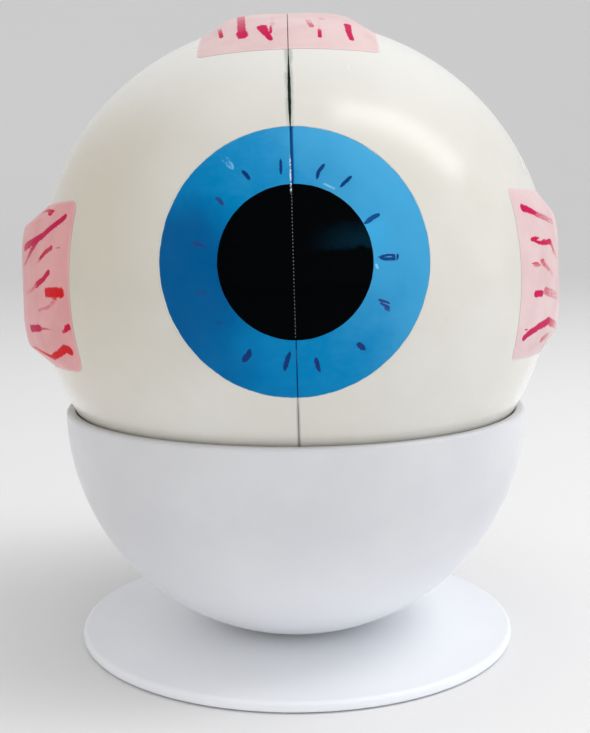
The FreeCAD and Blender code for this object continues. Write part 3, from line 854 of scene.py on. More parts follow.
@dataclass(frozen=True)
class ScleraPaint:
    """Glossy warm-white spray paint over a moulded shell."""

    name: str = "sclera paint"
    light: Colour = rgb(207, 205, 198)
    shade: Colour = rgb(200, 197, 188)
    # Painted shade: a warmer, darker tone for the ball's left side, away from the main lamps.
    painted_left_shade: Colour = rgb(196, 189, 174)
    # Painted light: a paler, more neutral white for the top of the ball.
    painted_top_light: Colour = rgb(213, 213, 209)
    dust: Colour = rgb(120, 112, 100)
    # A greyish-green tone along the seam.
    seam_band: Colour = rgb(104, 118, 108)
    seam_black: Colour = rgb(58, 82, 72)
    seam_grey: Colour = rgb(120, 118, 110)
    gloss: float = 0.19

    def make(self) -> Material:
        """Mottled white, painted shade on the left, painted light on top, a grey seam band, orange peel,
        hairlines and dust.

        Returns:
            The material.
        """
        sheet = FinishSheet(self.name, Specular_IOR_Level=0.5, Coat_Weight=0.3, Coat_Roughness=0.24)
        position = sheet.eye_position()
        skin = sheet.group(MOULDED_SKIN, Position=position, Mottle_Size=34.0, Peel_Size=5.0, Dust=0.5)
        x, _, z = sheet.parts(position)
        # Painted shade: warmer and darker towards the ball's left, fading out towards the middle and the
        # bottom.
        left_shade_mask = x.fade(-62.0, -22.0, 0.9) * z.step(-52.0, -16.0)
        # A greyish-green band beside the seam, drawn only above the iris, and a thin grey line along the seam
        # below the iris.
        beside_seam = (abs(x) - sheet.noise(position, 0.25, 3.0) * 1.1).fade(-0.2, 0.8, 0.5)
        above = z.step(26.0, 40.0)
        below = z.fade(-38.0, -30.0, 0.6) * abs(x).fade(0.1, 0.7)
        cut = sheet.number("lip").fade(0.03, 0.13)
        colour = sheet.layered(
            self.light,
            (skin["Mottle"], self.shade),
            (left_shade_mask, self.painted_left_shade),
            # Painted light: paler and more neutral towards the top, where the top lamp falls.
            (z.step(26.0, 64.0, 0.0, 0.9), self.painted_top_light),
            (sheet.math("MAXIMUM", beside_seam * above, below), self.seam_band),
            (cut, sheet.blend(above, self.seam_grey, self.seam_black)),
            (skin["Dust"] * 0.6, self.dust),
        )
        rough = skin["Mottle"] * 0.05 + skin["Hairlines"] * 0.05 + cut * 0.5 + self.gloss
        sheet.surface(Base_Color=colour, Roughness=rough)
        sheet.relief(skin["Height"], 0.05, 0.55)
        return sheet.material


@dataclass(frozen=True)
class IrisPaint:
    """Hand-painted blue iris with short dark strokes round a glossy black pupil."""

    name: str = "iris paint"
    deep: Colour = rgb(0, 84, 142)
    middle: Colour = rgb(0, 120, 176)
    pale: Colour = rgb(60, 147, 193)
    stroke: Colour = rgb(8, 36, 100)
    violet: Colour = rgb(58, 44, 116)
    seam: Colour = rgb(3, 38, 104)
    # Painted highlight colour of the specks along the seam.
    lip_glint: Colour = rgb(205, 220, 228)
    white: Colour = rgb(208, 206, 200)
    painted_glint: Colour = rgb(140, 196, 226)
    pupil: Colour = (0.0012, 0.0012, 0.0014)
    edge: float = 33.1

    def blue(self, sheet: NodeSheet, position: Value) -> Value:
        """Cloudy blue, deepest beside the pupil at the temple and pale towards the nose and above, partly
        painted shade and light.

        Args:
            sheet: The sheet to draw on.
            position: Position in the eye frame.

        Returns:
            The colour.
        """
        # Partly painted light and shade: the blue pales towards the nose and above, where the light falls,
        # and deepens at the temple on the shaded side; the rest is the paint's own uneven tone.
        lean = sheet.vector("DOT_PRODUCT", position, (0.021, 0.0, 0.010))
        beside = sheet.vector("DISTANCE", sheet.stretched(position, (1.0, 0.0, 1.0)), (-24.0, 0.0, -2.0))
        cloud = sheet.noise(position, 0.07, 3.0, 0.6) * 0.8 - 0.4
        tone = lean + beside.step(3.0, 25.0, -0.44, 0.20) + cloud
        fibres = sheet.noise(sheet.stretched(position, (0.5, 0.2, 1.0)), 0.8, 3.0, 0.6)
        brushed = fibres.step(0.35, 0.75, 0.0, 0.2)
        return sheet.layered(
            self.deep,
            (tone.step(-0.85, 0.1), self.middle),
            (tone.step(0.0, 0.85), self.pale),
            (brushed * tone.step(-0.5, 0.5), self.pale),
        )

    def seam_glints(self, sheet: NodeSheet, position: Value) -> Value:
        """Painted highlights: bright specks on the temporal lip above the pupil, and a row of dots down
        through it, for light caught by the seam's edges.

        Args:
            sheet: The sheet to draw on.
            position: Position in the eye frame.

        Returns:
            Where the flecks lie, from 0 to 1.
        """
        x, _, z = sheet.parts(position)
        lip = sheet.number("lip")
        rough = sheet.noise(sheet.stretched(position, (0.9, 0.0, 1.0)), 1.1, 4.0, 0.8)
        inner = lip.step(0.005, 0.03)
        lip_glints = rough.step(0.46, 0.58) * z.step(15.0, 17.0) * z.fade(23.0, 26.0) * lip.fade(0.30, 0.50)
        beads = (rough * 2.2 + sheet.math("SINE", z * 7.4)).step(1.2, 1.8)
        dots = beads * lip.fade(0.16, 0.24) * abs(z).fade(18.2, 18.8, 0.25)
        return sheet.math("MAXIMUM", lip_glints, dots) * inner * x.fade(-0.01, 0.01)

    def make(self) -> Material:
        """Blue ground, strokes with a few painted glints, black disc, seam, painted glints along the seam's
        lips and the white paint that laps over the edge.

        Returns:
            The material.
        """
        sheet = FinishSheet(self.name, Specular_Tint=(0.12, 0.55, 0.85))
        position = sheet.eye_position()
        x, _, z = sheet.parts(position)
        flat = sheet.stretched(position, (1.0, 0.0, 1.0))
        brush = sheet.brush(position)
        tone = brush["Tone"]
        ink = sheet.layered(
            self.stroke,
            (sheet.math("MINIMUM", tone, 1.0), self.violet),
            # Strokes of tone 2 take the painted highlight colour.
            (tone.step(1.0, 2.0), self.painted_glint),
        )
        reach = sheet.vector("DISTANCE", flat, (PUPIL_SHIFT, 0.0, -PUPIL_DROP))
        wobble = sheet.noise(position, 0.5) * 0.16 - 0.08
        disc = (reach + wobble).fade(PUPIL_RADIUS - 0.06, PUPIL_RADIUS + 0.06)
        wide = z.step(15.0, 20.0, 0.0, 0.62) * x.step(-0.01, 0.01) + 0.20
        cut = (sheet.number("lip") / wide).fade(0.45, 1.0)
        waver = sheet.noise(position, 0.35, 3.0, 0.6) * 0.4 - 0.2
        rim = sheet.vector("LENGTH", flat) + waver + x.fade(-34.0, -12.0, 0.34)
        colour = sheet.layered(
            self.blue(sheet, position),
            (brush["Cover"] * 0.95, ink),
            (cut * 0.85, self.seam),
            (disc, self.pupil),
            # Painted highlights along the seam's lips.
            (self.seam_glints(sheet, position), self.lip_glint),
            (rim.step(self.edge - 0.05, self.edge + 0.05), self.white),
        )
        uneven = sheet.noise(position, 0.16, 3.0, 0.6)
        paint = 1.0 - disc
        rough = (uneven * 0.16 + 0.16) * paint + 0.06
        shine = (uneven.step(0.3, 0.7, 0.12, 0.30) * paint + 0.012) * (1.0 - cut)
        sheet.surface(Base_Color=colour, Roughness=rough, Specular_IOR_Level=shine)
        sheet.relief(brush["Depth"] * 0.5 + sheet.noise(position, 0.28) * 0.6, 0.05)
        return sheet.material


@dataclass(frozen=True)
class MusclePaint:
    """Pale pink satin paint with red and magenta brush strokes."""

    name: str
    pink: Colour
    blush: Colour
    rim: Colour = rgb(226, 206, 200)
    seam: Colour = rgb(72, 40, 42)
    magenta: Colour = rgb(184, 0, 74)
    red: Colour = rgb(202, 6, 22)

    def make(self) -> Material:
        """Blotched pink, the strokes over it, and the brush's own relief.

        Returns:
            The material.
        """
        sheet = FinishSheet(self.name)
        position = sheet.eye_position()
        skin = sheet.group(MOULDED_SKIN, Position=position, Mottle_Size=14.0, Peel_Size=2.2, Dust=0.3)
        brush = sheet.brush(position)
        colour = sheet.layered(
            self.pink,
            (skin["Mottle"], self.blush),
            (sheet.number("border").fade(0.2, 0.8, 0.22), self.rim),
            (brush["Cover"], sheet.blend(brush["Tone"], self.magenta, self.red)),
            (sheet.number("lip").fade(0.02, 0.16, 0.9), self.seam),
        )
        shine = brush["Cover"] * -0.27 + 0.30
        sheet.surface(Base_Color=colour, Roughness=skin["Mottle"] * 0.08 + 0.34, Specular_IOR_Level=shine)
        sheet.relief(brush["Depth"] * 0.8 + skin["Height"], 0.07)
        return sheet.material


@dataclass(frozen=True)
class StandPlastic:
    """Cool-white satin plastic of the cup and the base."""

    name: str
    light: Colour = rgb(205, 206, 209)
    shade: Colour = rgb(199, 200, 204)
    # Painted light for the base and cup near the axis.
    foot: Colour = rgb(247, 249, 253)
    dust: Colour = rgb(150, 148, 142)
    rough: float = 0.38

    def make(self) -> Material:
        """Faint cool mottling, painted light round the foot, moulding grain, handling marks and dust.

        Returns:
            The material.
        """
        sheet = FinishSheet(self.name, Specular_IOR_Level=0.45)
        position = sheet.stand_position()
        skin = sheet.group(MOULDED_SKIN, Position=position, Mottle_Size=30.0, Peel_Size=1.6, Dust=0.35)
        colour = sheet.layered(
            self.light,
            (skin["Mottle"], self.shade),
            # Painted light: paler near the stand's axis, on the base round the cup's foot and on the cup's
            # underside, where shade falls.
            (sheet.vector("LENGTH", position).fade(25.0, 82.0, 0.95), self.foot),
            (skin["Dust"] * 0.5, self.dust),
        )
        rough = skin["Mottle"] * 0.06 + skin["Hairlines"] * 0.14 + self.rough
        sheet.surface(Base_Color=colour, Roughness=rough)
        sheet.relief(skin["Height"], 0.03)
        return sheet.material


@dataclass(frozen=True)
class PlainMetal:
    """Plated or turned metal of the small fasteners."""

    name: str
    bright: Colour
    dull: Colour
    rough: float = 0.20

    def make(self) -> Material:
        """Lathe lines round the piece, dull patches and fine scratches.

        Returns:
            The material.
        """
        sheet = FinishSheet(self.name, Metallic=1.0)
        position = sheet.stand_position()
        patch = sheet.noise(position, 0.8, 4.0, 0.65)
        colour = sheet.blend(patch.step(0.35, 0.7), self.bright, self.dull)
        sheet.surface(Base_Color=colour, Roughness=patch * 0.22 + self.rough)
        sheet.relief(sheet.noise(sheet.stretched(position, (0.4, 0.4, 9.0)), 1.0, 3.0, 0.7), 0.02)
        return sheet.material


@dataclass(frozen=True)
class NervePaint:
    """Yellow nerve with its bundles and the two vessels painted on the cut end."""

    name: str = "nerve paint"
    ground: Colour = rgb(226, 190, 104)
    bundle: Colour = rgb(240, 218, 150)
    artery: Colour = rgb(186, 26, 34)
    vein: Colour = rgb(38, 66, 156)

    def make(self) -> Material:
        """Pale bundles in yellow, and a red and a blue dot near the middle of the cut end.

        Returns:
            The material.
        """
        sheet = FinishSheet(self.name, Specular_IOR_Level=0.4)
        position = sheet.eye_position()
        turn = math.radians(NERVE_TURN)
        sideways = sheet.vector("DOT_PRODUCT", position, (math.cos(turn), -math.sin(turn), 0.0))
        flat = sheet.add("ShaderNodeCombineXYZ", {0: sideways, 1: sheet.parts(position)[2]})
        cells = {"Vector": flat, "Scale": 0.62}
        bundles = sheet.add("ShaderNodeTexVoronoi", cells, "Distance", feature="SMOOTH_F1").fade(0.25, 0.55)
        layers = [(bundles, self.bundle)]
        for centre, paint in (((-0.9, 0.2, 0.0), self.artery), ((1.0, -0.2, 0.0), self.vein)):
            reach = sheet.noise(position, 1.4) * 0.3 + sheet.vector("DISTANCE", flat, centre)
            layers.append((reach.fade(0.85, 0.98), paint))
        sheet.surface(Base_Color=sheet.layered(self.ground, *layers), Roughness=bundles * -0.08 + 0.48)
        sheet.relief(bundles, 0.25, 0.6)
        return sheet.material


@dataclass(frozen=True)
class LiningPaint:
    """Dark red choroid outside and orange retina with branching vessels inside."""

    name: str = "choroid and retina paint"
    choroid: Colour = rgb(122, 34, 28)
    choroid_dark: Colour = rgb(74, 20, 22)
    choroid_net: Colour = rgb(168, 44, 34)
    joint: Colour = rgb(112, 146, 128)
    retina: Colour = rgb(222, 120, 68)
    retina_deep: Colour = rgb(196, 84, 48)
    fovea: Colour = rgb(150, 52, 34)
    artery: Colour = rgb(176, 22, 26)
    vein: Colour = rgb(96, 24, 58)
    disc: Colour = rgb(246, 220, 160)
    disc_pit: Colour = rgb(250, 240, 214)
    disc_reach: float = 67.8

    def make(self) -> Material:
        """The two faces told apart by the retina number; vessels by their own edge and tone numbers.

        Returns:
            The material.
        """
        sheet = FinishSheet(self.name, Specular_IOR_Level=0.5)
        position = sheet.eye_position()
        cloud = sheet.noise(position, 0.07, 4.0, 0.6)
        cells = {"Vector": position, "Scale": 0.13}
        walls = sheet.add("ShaderNodeTexVoronoi", cells, "Distance", feature="DISTANCE_TO_EDGE")
        net = walls.fade(0.03, 0.12)
        outside = sheet.layered(
            self.choroid,
            (cloud.step(0.3, 0.7), self.choroid_dark),
            (net * 0.55, self.choroid_net),
            (abs(sheet.parts(position)[0]).fade(0.6, 1.6, 0.9), self.joint),
        )
        fovea = sheet.vector("DISTANCE", position, (-5.0, 67.0, 0.0)).fade(2.0, 9.0, 0.7)
        vessel = (sheet.number("vessel_edge") + sheet.noise(position, 0.8) * 0.5 - 0.25).fade(0.85, 1.1)
        turn = math.radians(NERVE_TURN)
        head = (self.disc_reach * math.sin(turn), self.disc_reach * math.cos(turn), 0.0)
        pit = sheet.vector("DISTANCE", position, head) + sheet.noise(position, 0.5)
        inside = sheet.layered(
            self.retina,
            (cloud.step(0.3, 0.7), self.retina_deep),
            (fovea, self.fovea),
            (vessel * 0.92, sheet.blend(sheet.number("vessel_tone"), self.artery, self.vein)),
            (pit.fade(7.4, 8.4), self.disc),
            (pit.fade(2.6, 4.2, 0.6), self.disc_pit),
        )
        colour = sheet.blend(sheet.number("retina"), outside, inside)
        sheet.surface(Base_Color=colour, Roughness=cloud * 0.12 + 0.32)
        sheet.relief(vessel * 0.5 + sheet.noise(position, 0.5, 3.0), 0.12)
        return sheet.material


@dataclass(frozen=True)
class CiliaryPaint:
    """Brown-red paint over the folds of the ciliary ring."""

    name: str = "ciliary paint"
    valley_shade: Colour = rgb(66, 26, 22)
    crest: Colour = rgb(168, 82, 58)

    def make(self) -> Material:
        """Darker in the valleys between folds, as painted shade, and paler on their crests.

        Returns:
            The material.
        """
        sheet = FinishSheet(self.name, Specular_IOR_Level=0.5)
        cloud = sheet.noise(sheet.eye_position(), 0.4, 3.0)
        height = (sheet.number("crest") + cloud * 0.3 - 0.15).step(0.1, 0.9)
        # Painted shade: darker where the folds sink.
        sheet.surface(Base_Color=sheet.blend(height, self.valley_shade, self.crest), Roughness=cloud * 0.15 + 0.30)
        sheet.relief(cloud, 0.1)
        return sheet.material


@dataclass(frozen=True)
class ClearPlastic:
    """Clear moulded or polished plastic."""

    name: str
    tint: Colour
    haze: float = 0.03
    ior: float = 1.49
    clear: Colour = (0.97, 0.98, 0.98)

    def make(self) -> Material:
        """Nearly colourless, with a faint uneven polish and flow waves.

        Returns:
            The material.
        """
        sheet = FinishSheet(self.name, IOR=self.ior, Transmission_Weight=1.0)
        position = sheet.eye_position()
        flow = sheet.noise(position, 0.05)
        rough = sheet.noise(position, 0.5, 3.0) * self.haze + 0.01
        sheet.surface(Base_Color=sheet.blend(flow, self.tint, self.clear), Roughness=rough)
        sheet.relief(flow, 0.15, 0.3)
        return sheet.material


# ---- Ball ----


@dataclass
class BallHalf:
    """One half of the ball: white shell and painted front."""

    side: Side
    gap_below: float = 0.012
    gap_iris: float = 0.02
    gap_above: float = 0.32
    gap_crown: float = 0.04
    seam_round: float = 0.15
    opening_round: float = 0.03
    dome_radius: float = 64.0
    dome_wall: float = 3.0
    dome_round: float = 0.12
    dome_clearance: float = 0.004
    dome_sink: float = 0.03
    pupil_step: float = 0.10

    @property
    def body(self) -> str:
        """Name of the body that carries this half."""
        return f"{self.side.word}_half"

    def half_gap(self, height: Array) -> Array:
        """Half the seam's width by height: tight below, wide above the iris, closing under the muscle.

        Args:
            height: Height in the eye frame.

        Returns:
            Half the width at each height.
        """
        step_1 = (self.gap_iris - self.gap_below) * eased(17.0, 24.0, height)
        step_2 = (self.gap_above - self.gap_iris) * eased(30.0, 40.0, height)
        step_3 = (self.gap_crown - self.gap_above) * eased(44.0, 57.0, height)
        return self.gap_below + step_1 + step_2 + step_3

    def parted(self, grid: Array) -> Array:
        """Move a half that starts on the seam plane off it, and put it on its own side.

        X becomes (X + gap * (1 - X / radius)) * side, where gap is half the seam's width with the small
        waver of a trimmed edge.

        Args:
            grid: Points with X from 0 outwards.

        Returns:
            The points on their side of the seam.
        """
        x, y, z = grid[..., 0], grid[..., 1], grid[..., 2]
        waver = np.sin(1.9 * z + 0.7 * self.side.value) + 0.8 * np.sin(4.7 * z + 0.31 * y)
        gap = self.half_gap(z) * (1.0 + 0.11 * waver * np.exp(-((x / 1.5) ** 2)))
        return points_at((x + gap * (1.0 - np.clip(x / BALL_RADIUS, 0.0, 1.0))) * self.side.value, y, z)

    def sclera(self) -> Skin:
        """White half shell: radius * ray, from the cornea's edge round to the back and across from the seam.

        Quarter rounds lower its outer face along the seam and round the opening.

        Returns:
            The half shell, in the eye frame.
        """
        opening = math.asin(CORNEA_EDGE / BALL_RADIUS)
        a = spread(190, opening, math.pi, 0.93)[:, None]
        ray = ball_rays(a, spread(180, -HALF_PI, HALF_PI, 0.97)[None, :])
        from_seam = BALL_RADIUS * ray[..., 0]
        seam_drop = edge_drop(from_seam, self.seam_round)
        drop = np.maximum(seam_drop, edge_drop(BALL_RADIUS * (a - opening), self.opening_round))
        outer = ray * (BALL_RADIUS - drop)[..., None]
        inner = ray * (BALL_RADIUS - SHELL_WALL + seam_drop)[..., None]
        return closed_patch(self.parted(outer), self.parted(inner), lip=from_seam)

    def cornea(self) -> Skin:
        """Painted front of this half, a shallow dome with the pupil standing a little proud.

        Rings of radius r lie round a centre that slides from the pupil's to the dome's as r grows. The
        depth is the dome's own: centre + sqrt(R^2 - x^2 - z^2).

        Returns:
            The half of the front, in the eye frame.
        """
        last = CORNEA_EDGE - self.dome_clearance
        near = spread(56, 0.0, PUPIL_RADIUS - 0.16, 0.5)
        edge = np.linspace(PUPIL_RADIUS - 0.12, PUPIL_RADIUS + 0.16, 8)
        far = spread(70, PUPIL_RADIUS + 0.2, last, 0.85)
        r = np.concatenate([near, edge, far])[:, None]
        b = spread(300, -HALF_PI, HALF_PI, 0.9)[None, :]
        near_pupil = 1.0 - eased(PUPIL_RADIUS + 2.0, CORNEA_EDGE - 2.0, r)
        x = (r + PUPIL_SHIFT * self.side.value * near_pupil * eased(0.0, 3.0, r)) * np.cos(b)
        z = r * np.sin(b) - PUPIL_DROP * near_pupil
        flat = x * x + z * z
        middle = math.sqrt(BALL_RADIUS**2 - CORNEA_EDGE**2) - math.sqrt(self.dome_radius**2 - CORNEA_EDGE**2)
        lower = self.pupil_step * eased(PUPIL_RADIUS - 0.10, PUPIL_RADIUS + 0.12, r) + self.dome_sink
        drop = np.maximum(edge_drop(x, self.dome_round), edge_drop(last - r, self.opening_round))
        outer = middle + np.sqrt(self.dome_radius**2 - flat) - lower - drop
        inner = middle + np.sqrt((self.dome_radius - self.dome_wall) ** 2 - flat)
        marks = brush_marks(x * self.side.value, z, IRIS_STROKES, 0.75)
        outer, inner = (self.parted(points_at(x, -depth, z)) for depth in (outer, inner))
        return closed_patch(outer, inner, lip=x, **marks)

    def build(self, sclera: Material, iris: Material) -> None:
        """Make and dress the shell and the painted front.

        Args:
            sclera: Paint of the shell.
            iris: Paint of the front.
        """
        half = self.side.word
        shell, front = SEAT.seated(self.sclera()), SEAT.seated(self.cornea())
        add_piece(f"white_shell_{half}", shell, sclera, self.body, f"sclera_{half}", 50.0)
        add_piece(f"painted_front_{half}", front, iris, self.body, f"cornea_{half}", 60.0)


@dataclass
class Muscle:
    """A straight muscle: a thin slab that hugs the ball, with softened edges and painted strokes."""

    node: str
    place: Place
    side: Side
    height: float
    half_width: float
    side_slope: float
    bow: float
    strokes: tuple[Stroke, ...]
    front: float = 46.6
    back: float = 40.0
    corner: float = 1.5
    front_thickness: float = 1.5
    shoulder_rise: float = 1.0
    feather: float = 42.0
    film: float = 0.12
    edge_round: float = 0.5
    seam_round: float = 0.15

    def corner_cut(self, across: Array) -> Array:
        """How much shorter the slab is at each end, for its quarter-round corners."""
        into = (np.abs(across) - (self.half_width - self.corner)) / self.corner
        return edge_drop(1.0 - np.clip(into, 0.0, 1.0), 1.0) * self.corner

    def outline_at(self, across: Array) -> tuple[Array, Array]:
        """Where the slab starts and ends along the ball, for each place across its width.

        The start is the bowed insertion, an arc through the middle and both corners.

        Args:
            across: Distance from the muscle's middle line.

        Returns:
            The first and last place along the ball, forward counted as negative.
        """
        reach = (self.half_width**2 + self.bow**2) / (2.0 * self.bow)
        cut = self.corner_cut(across)
        return reach - self.front - np.sqrt(reach**2 - across**2) + cut, self.back - cut

    def slab(self) -> Skin:
        """The slab over its plan.

        Its top is the lowest of a face that is straight across and curved along, of radius ball + height,
        of shoulders on a sphere that is larger by shoulder_rise, and of slopes down to the sides. Both
        curves pass over the insertion at front_thickness. A smooth step as long as feather thins all of it
        towards the insertion. Its underside is the ball. Near the outline a quarter round lowers the top.

        Returns:
            The slab, in the muscles' frame.
        """
        split = self.place is not Place.SIDE
        low, columns = (0.0, 64) if split else (-self.half_width, 110)
        u = spread(columns, low, self.half_width, 0.93)[None, :]
        first, last = self.outline_at(u)
        v = first + (last - first) * spread(170, 0.0, 1.0, 0.95)[:, None]
        u = u + 0.0 * v
        over_ball = (BALL_RADIUS + self.front_thickness) / BALL_RADIUS
        rise = over_ball * math.sqrt(BALL_RADIUS**2 - self.front**2)
        face = BALL_RADIUS + self.height
        shoulder = face + self.shoulder_rise
        start = over_ball * self.front
        face_back, shoulder_back = (math.sqrt(r**2 - rise**2) - start for r in (face, shoulder))
        flat_top = np.sqrt(face**2 - (v - face_back) ** 2)
        round_top = np.sqrt(shoulder**2 - (v - shoulder_back) ** 2 - u**2)
        seat = np.sqrt(BALL_RADIUS**2 - v**2 - u**2)
        from_side = self.side_slope * (self.half_width - np.abs(u))
        thick = soft_lower(soft_lower(flat_top, round_top, 0.2) - seat, from_side, 0.3)
        thick = thick * eased(-0.06 * self.feather, self.feather, v - first)
        edge = self.border(u, v)
        drop = np.maximum(edge_drop(edge, self.edge_round), edge_drop(u, self.seam_round) if split else 0.0)
        top = seat + np.maximum(thick + self.film - drop, 0.10)
        lip = u if split else u + 2.0 * self.half_width
        marks = brush_marks(u * self.side.value if split else u, v, self.strokes)
        outer, inner = self.stood(u, v, top), self.stood(u, v, seat + 0.05)
        return closed_patch(outer, inner, border=edge, lip=lip, **marks)

    def border(self, u: Array, v: Array) -> Array:
        """Distance to the nearest of a fine run of the outline's points, the seam's cut left out.

        Args:
            u: Distance from the muscle's middle line.
            v: Place along the ball.

        Returns:
            The distance at each point.
        """
        steps, portions = 400, 36
        across = spread(500, -self.half_width, self.half_width, 0.97)
        first, last = self.outline_at(across)
        ends = [np.stack([across, end], axis=-1) for end in (first, last)]
        along = np.linspace(first[-1], last[-1], steps)
        sides = [np.stack([np.full(steps, x), along], axis=-1) for x in (self.half_width, -self.half_width)]
        nearest = np.full(u.shape, np.inf)
        for part in np.array_split(np.concatenate(ends + sides), portions):
            gap = np.hypot(u[..., None] - part[:, 0], v[..., None] - part[:, 1]).min(axis=-1)
            nearest = np.minimum(nearest, gap)
        return nearest

    def stood(self, u: Array, v: Array, out: Array) -> Array:
        """Points of the slab in the muscles' frame, out from the ball's centre by out."""
        if self.place is Place.SIDE:
            return points_at(out * self.side.value, v, u)
        return BallHalf(self.side).parted(points_at(u, v, out if self.place is Place.CROWN else -out))

    def build(self, paint: Material) -> None:
        """Make the slab, put it on its half of the ball and paint it.

        Args:
            paint: Its paint.
        """
        skin = SEAT.seated(self.slab(), SEAT.muscle_tip)
        body = BallHalf(self.side).body
        add_piece(f"painted_{self.node}", skin, paint, body, self.node, 45.0)


@dataclass
class OpticNerve:
    """Nerve stub at the back: a sheath round a core whose bundles show on the cut end."""

    sheath_radius: float = 10.35
    sheath_bore: float = 8.05
    core_radius: float = 8.0
    length: float = 22.0
    proud: float = 0.6
    ripple: float = 0.12

    def laid(self, skin: Skin) -> Skin:
        """Turn a surface drawn along Z into the nerve's direction: back and towards the nose."""
        turn = Matrix.Rotation(math.radians(-NERVE_TURN), 3, "Z") @ Matrix.Rotation(-HALF_PI, 3, "X")
        return SEAT.seated(skin.moved(skin.points @ np.array(turn).T))

    def sheath(self) -> Skin:
        """Tube with a rolled end, rippled by ripple * cos(3 t + h / 4) up to a little before that end.

        Returns:
            The tube, drawn along Z.
        """
        outer, inner = self.sheath_radius, self.sheath_bore
        start, end = BALL_RADIUS - 0.9, BALL_RADIUS + self.length
        path = Outline(outer, start).line(outer, end - 0.8, 30).arc(0.8, 0.0, 90.0, 6)
        path.line(inner + 0.4, end, 3).arc(0.4, 90.0, 180.0, 4).line(inner, start, 6)
        skin = turned(path.points, 96)
        x, y, h = skin.points.T
        t, r = np.arctan2(y, x), np.hypot(x, y)
        wave = self.ripple * np.cos(3.0 * t + h / 4.0) * (r > inner + 1.2)
        r = r + wave * (1.0 - eased(end - 3.0, end - 0.5, h))
        outside = np.full(len(r), outer)
        return Skin(points_at(r * np.cos(t), r * np.sin(t), h), skin.faces, {"lip": outside})

    def core(self) -> Skin:
        """Rod with a rounded cut end.

        Returns:
            The rod, drawn along Z.
        """
        radius, start = self.core_radius, BALL_RADIUS - SHELL_WALL
        end = BALL_RADIUS + self.length + self.proud
        path = Outline(0.0, start).line(radius, start, 8).line(radius, end - 0.5, 20)
        return turned(path.arc(0.5, 0.0, 90.0, 5).line(0.0, end, 20).points, 96, closed=False)

    def build(self, sheath_paint: Material, core_paint: Material) -> None:
        """Make and dress the sheath and the core.

        Args:
            sheath_paint: Paint of the sheath.
            core_paint: Paint of the core.
        """
        body = BallHalf(Side.NASAL).body
        sheath, core = self.laid(self.sheath()), self.laid(self.core())
        add_piece("nerve_sheath_tube", sheath, sheath_paint, body, "optic_nerve_sheath")
        add_piece("nerve_core_rod", core, core_paint, body, "optic_nerve_core")


@dataclass
class SeamPegs:
    """Four turned pins across the seam, domed where they enter the other half."""

    radius: float = 1.0
    proud: float = 4.5
    length: float = 10.5
    circle: float = 73.0
    angles: tuple[float, ...] = (50.0, 140.0, 220.0, 310.0)

    def build(self, brass: Material) -> None:
        """Make the four pins as one piece.

        Args:
            brass: Their metal.
        """
        path = Outline(0.0, self.proud).arc(self.radius, 90.0, 0.0, 8)
        path.line(self.radius, self.proud - self.length, 12).line(0.0, self.proud - self.length, 3)
        pin = turned(path.points, 32, closed=False)
        x, y, h = pin.points.T
        pins = []
        for angle in np.radians(self.angles):
            ahead, up = self.circle * np.cos(angle), self.circle * np.sin(angle)
            pins.append(pin.moved(points_at(-h, x - ahead, y + up)))
        body = BallHalf(Side.NASAL).body
        add_piece("brass_seam_pegs", SEAT.seated(merged(pins)), brass, body, "seam_pegs")


# ---- Inside the ball ----


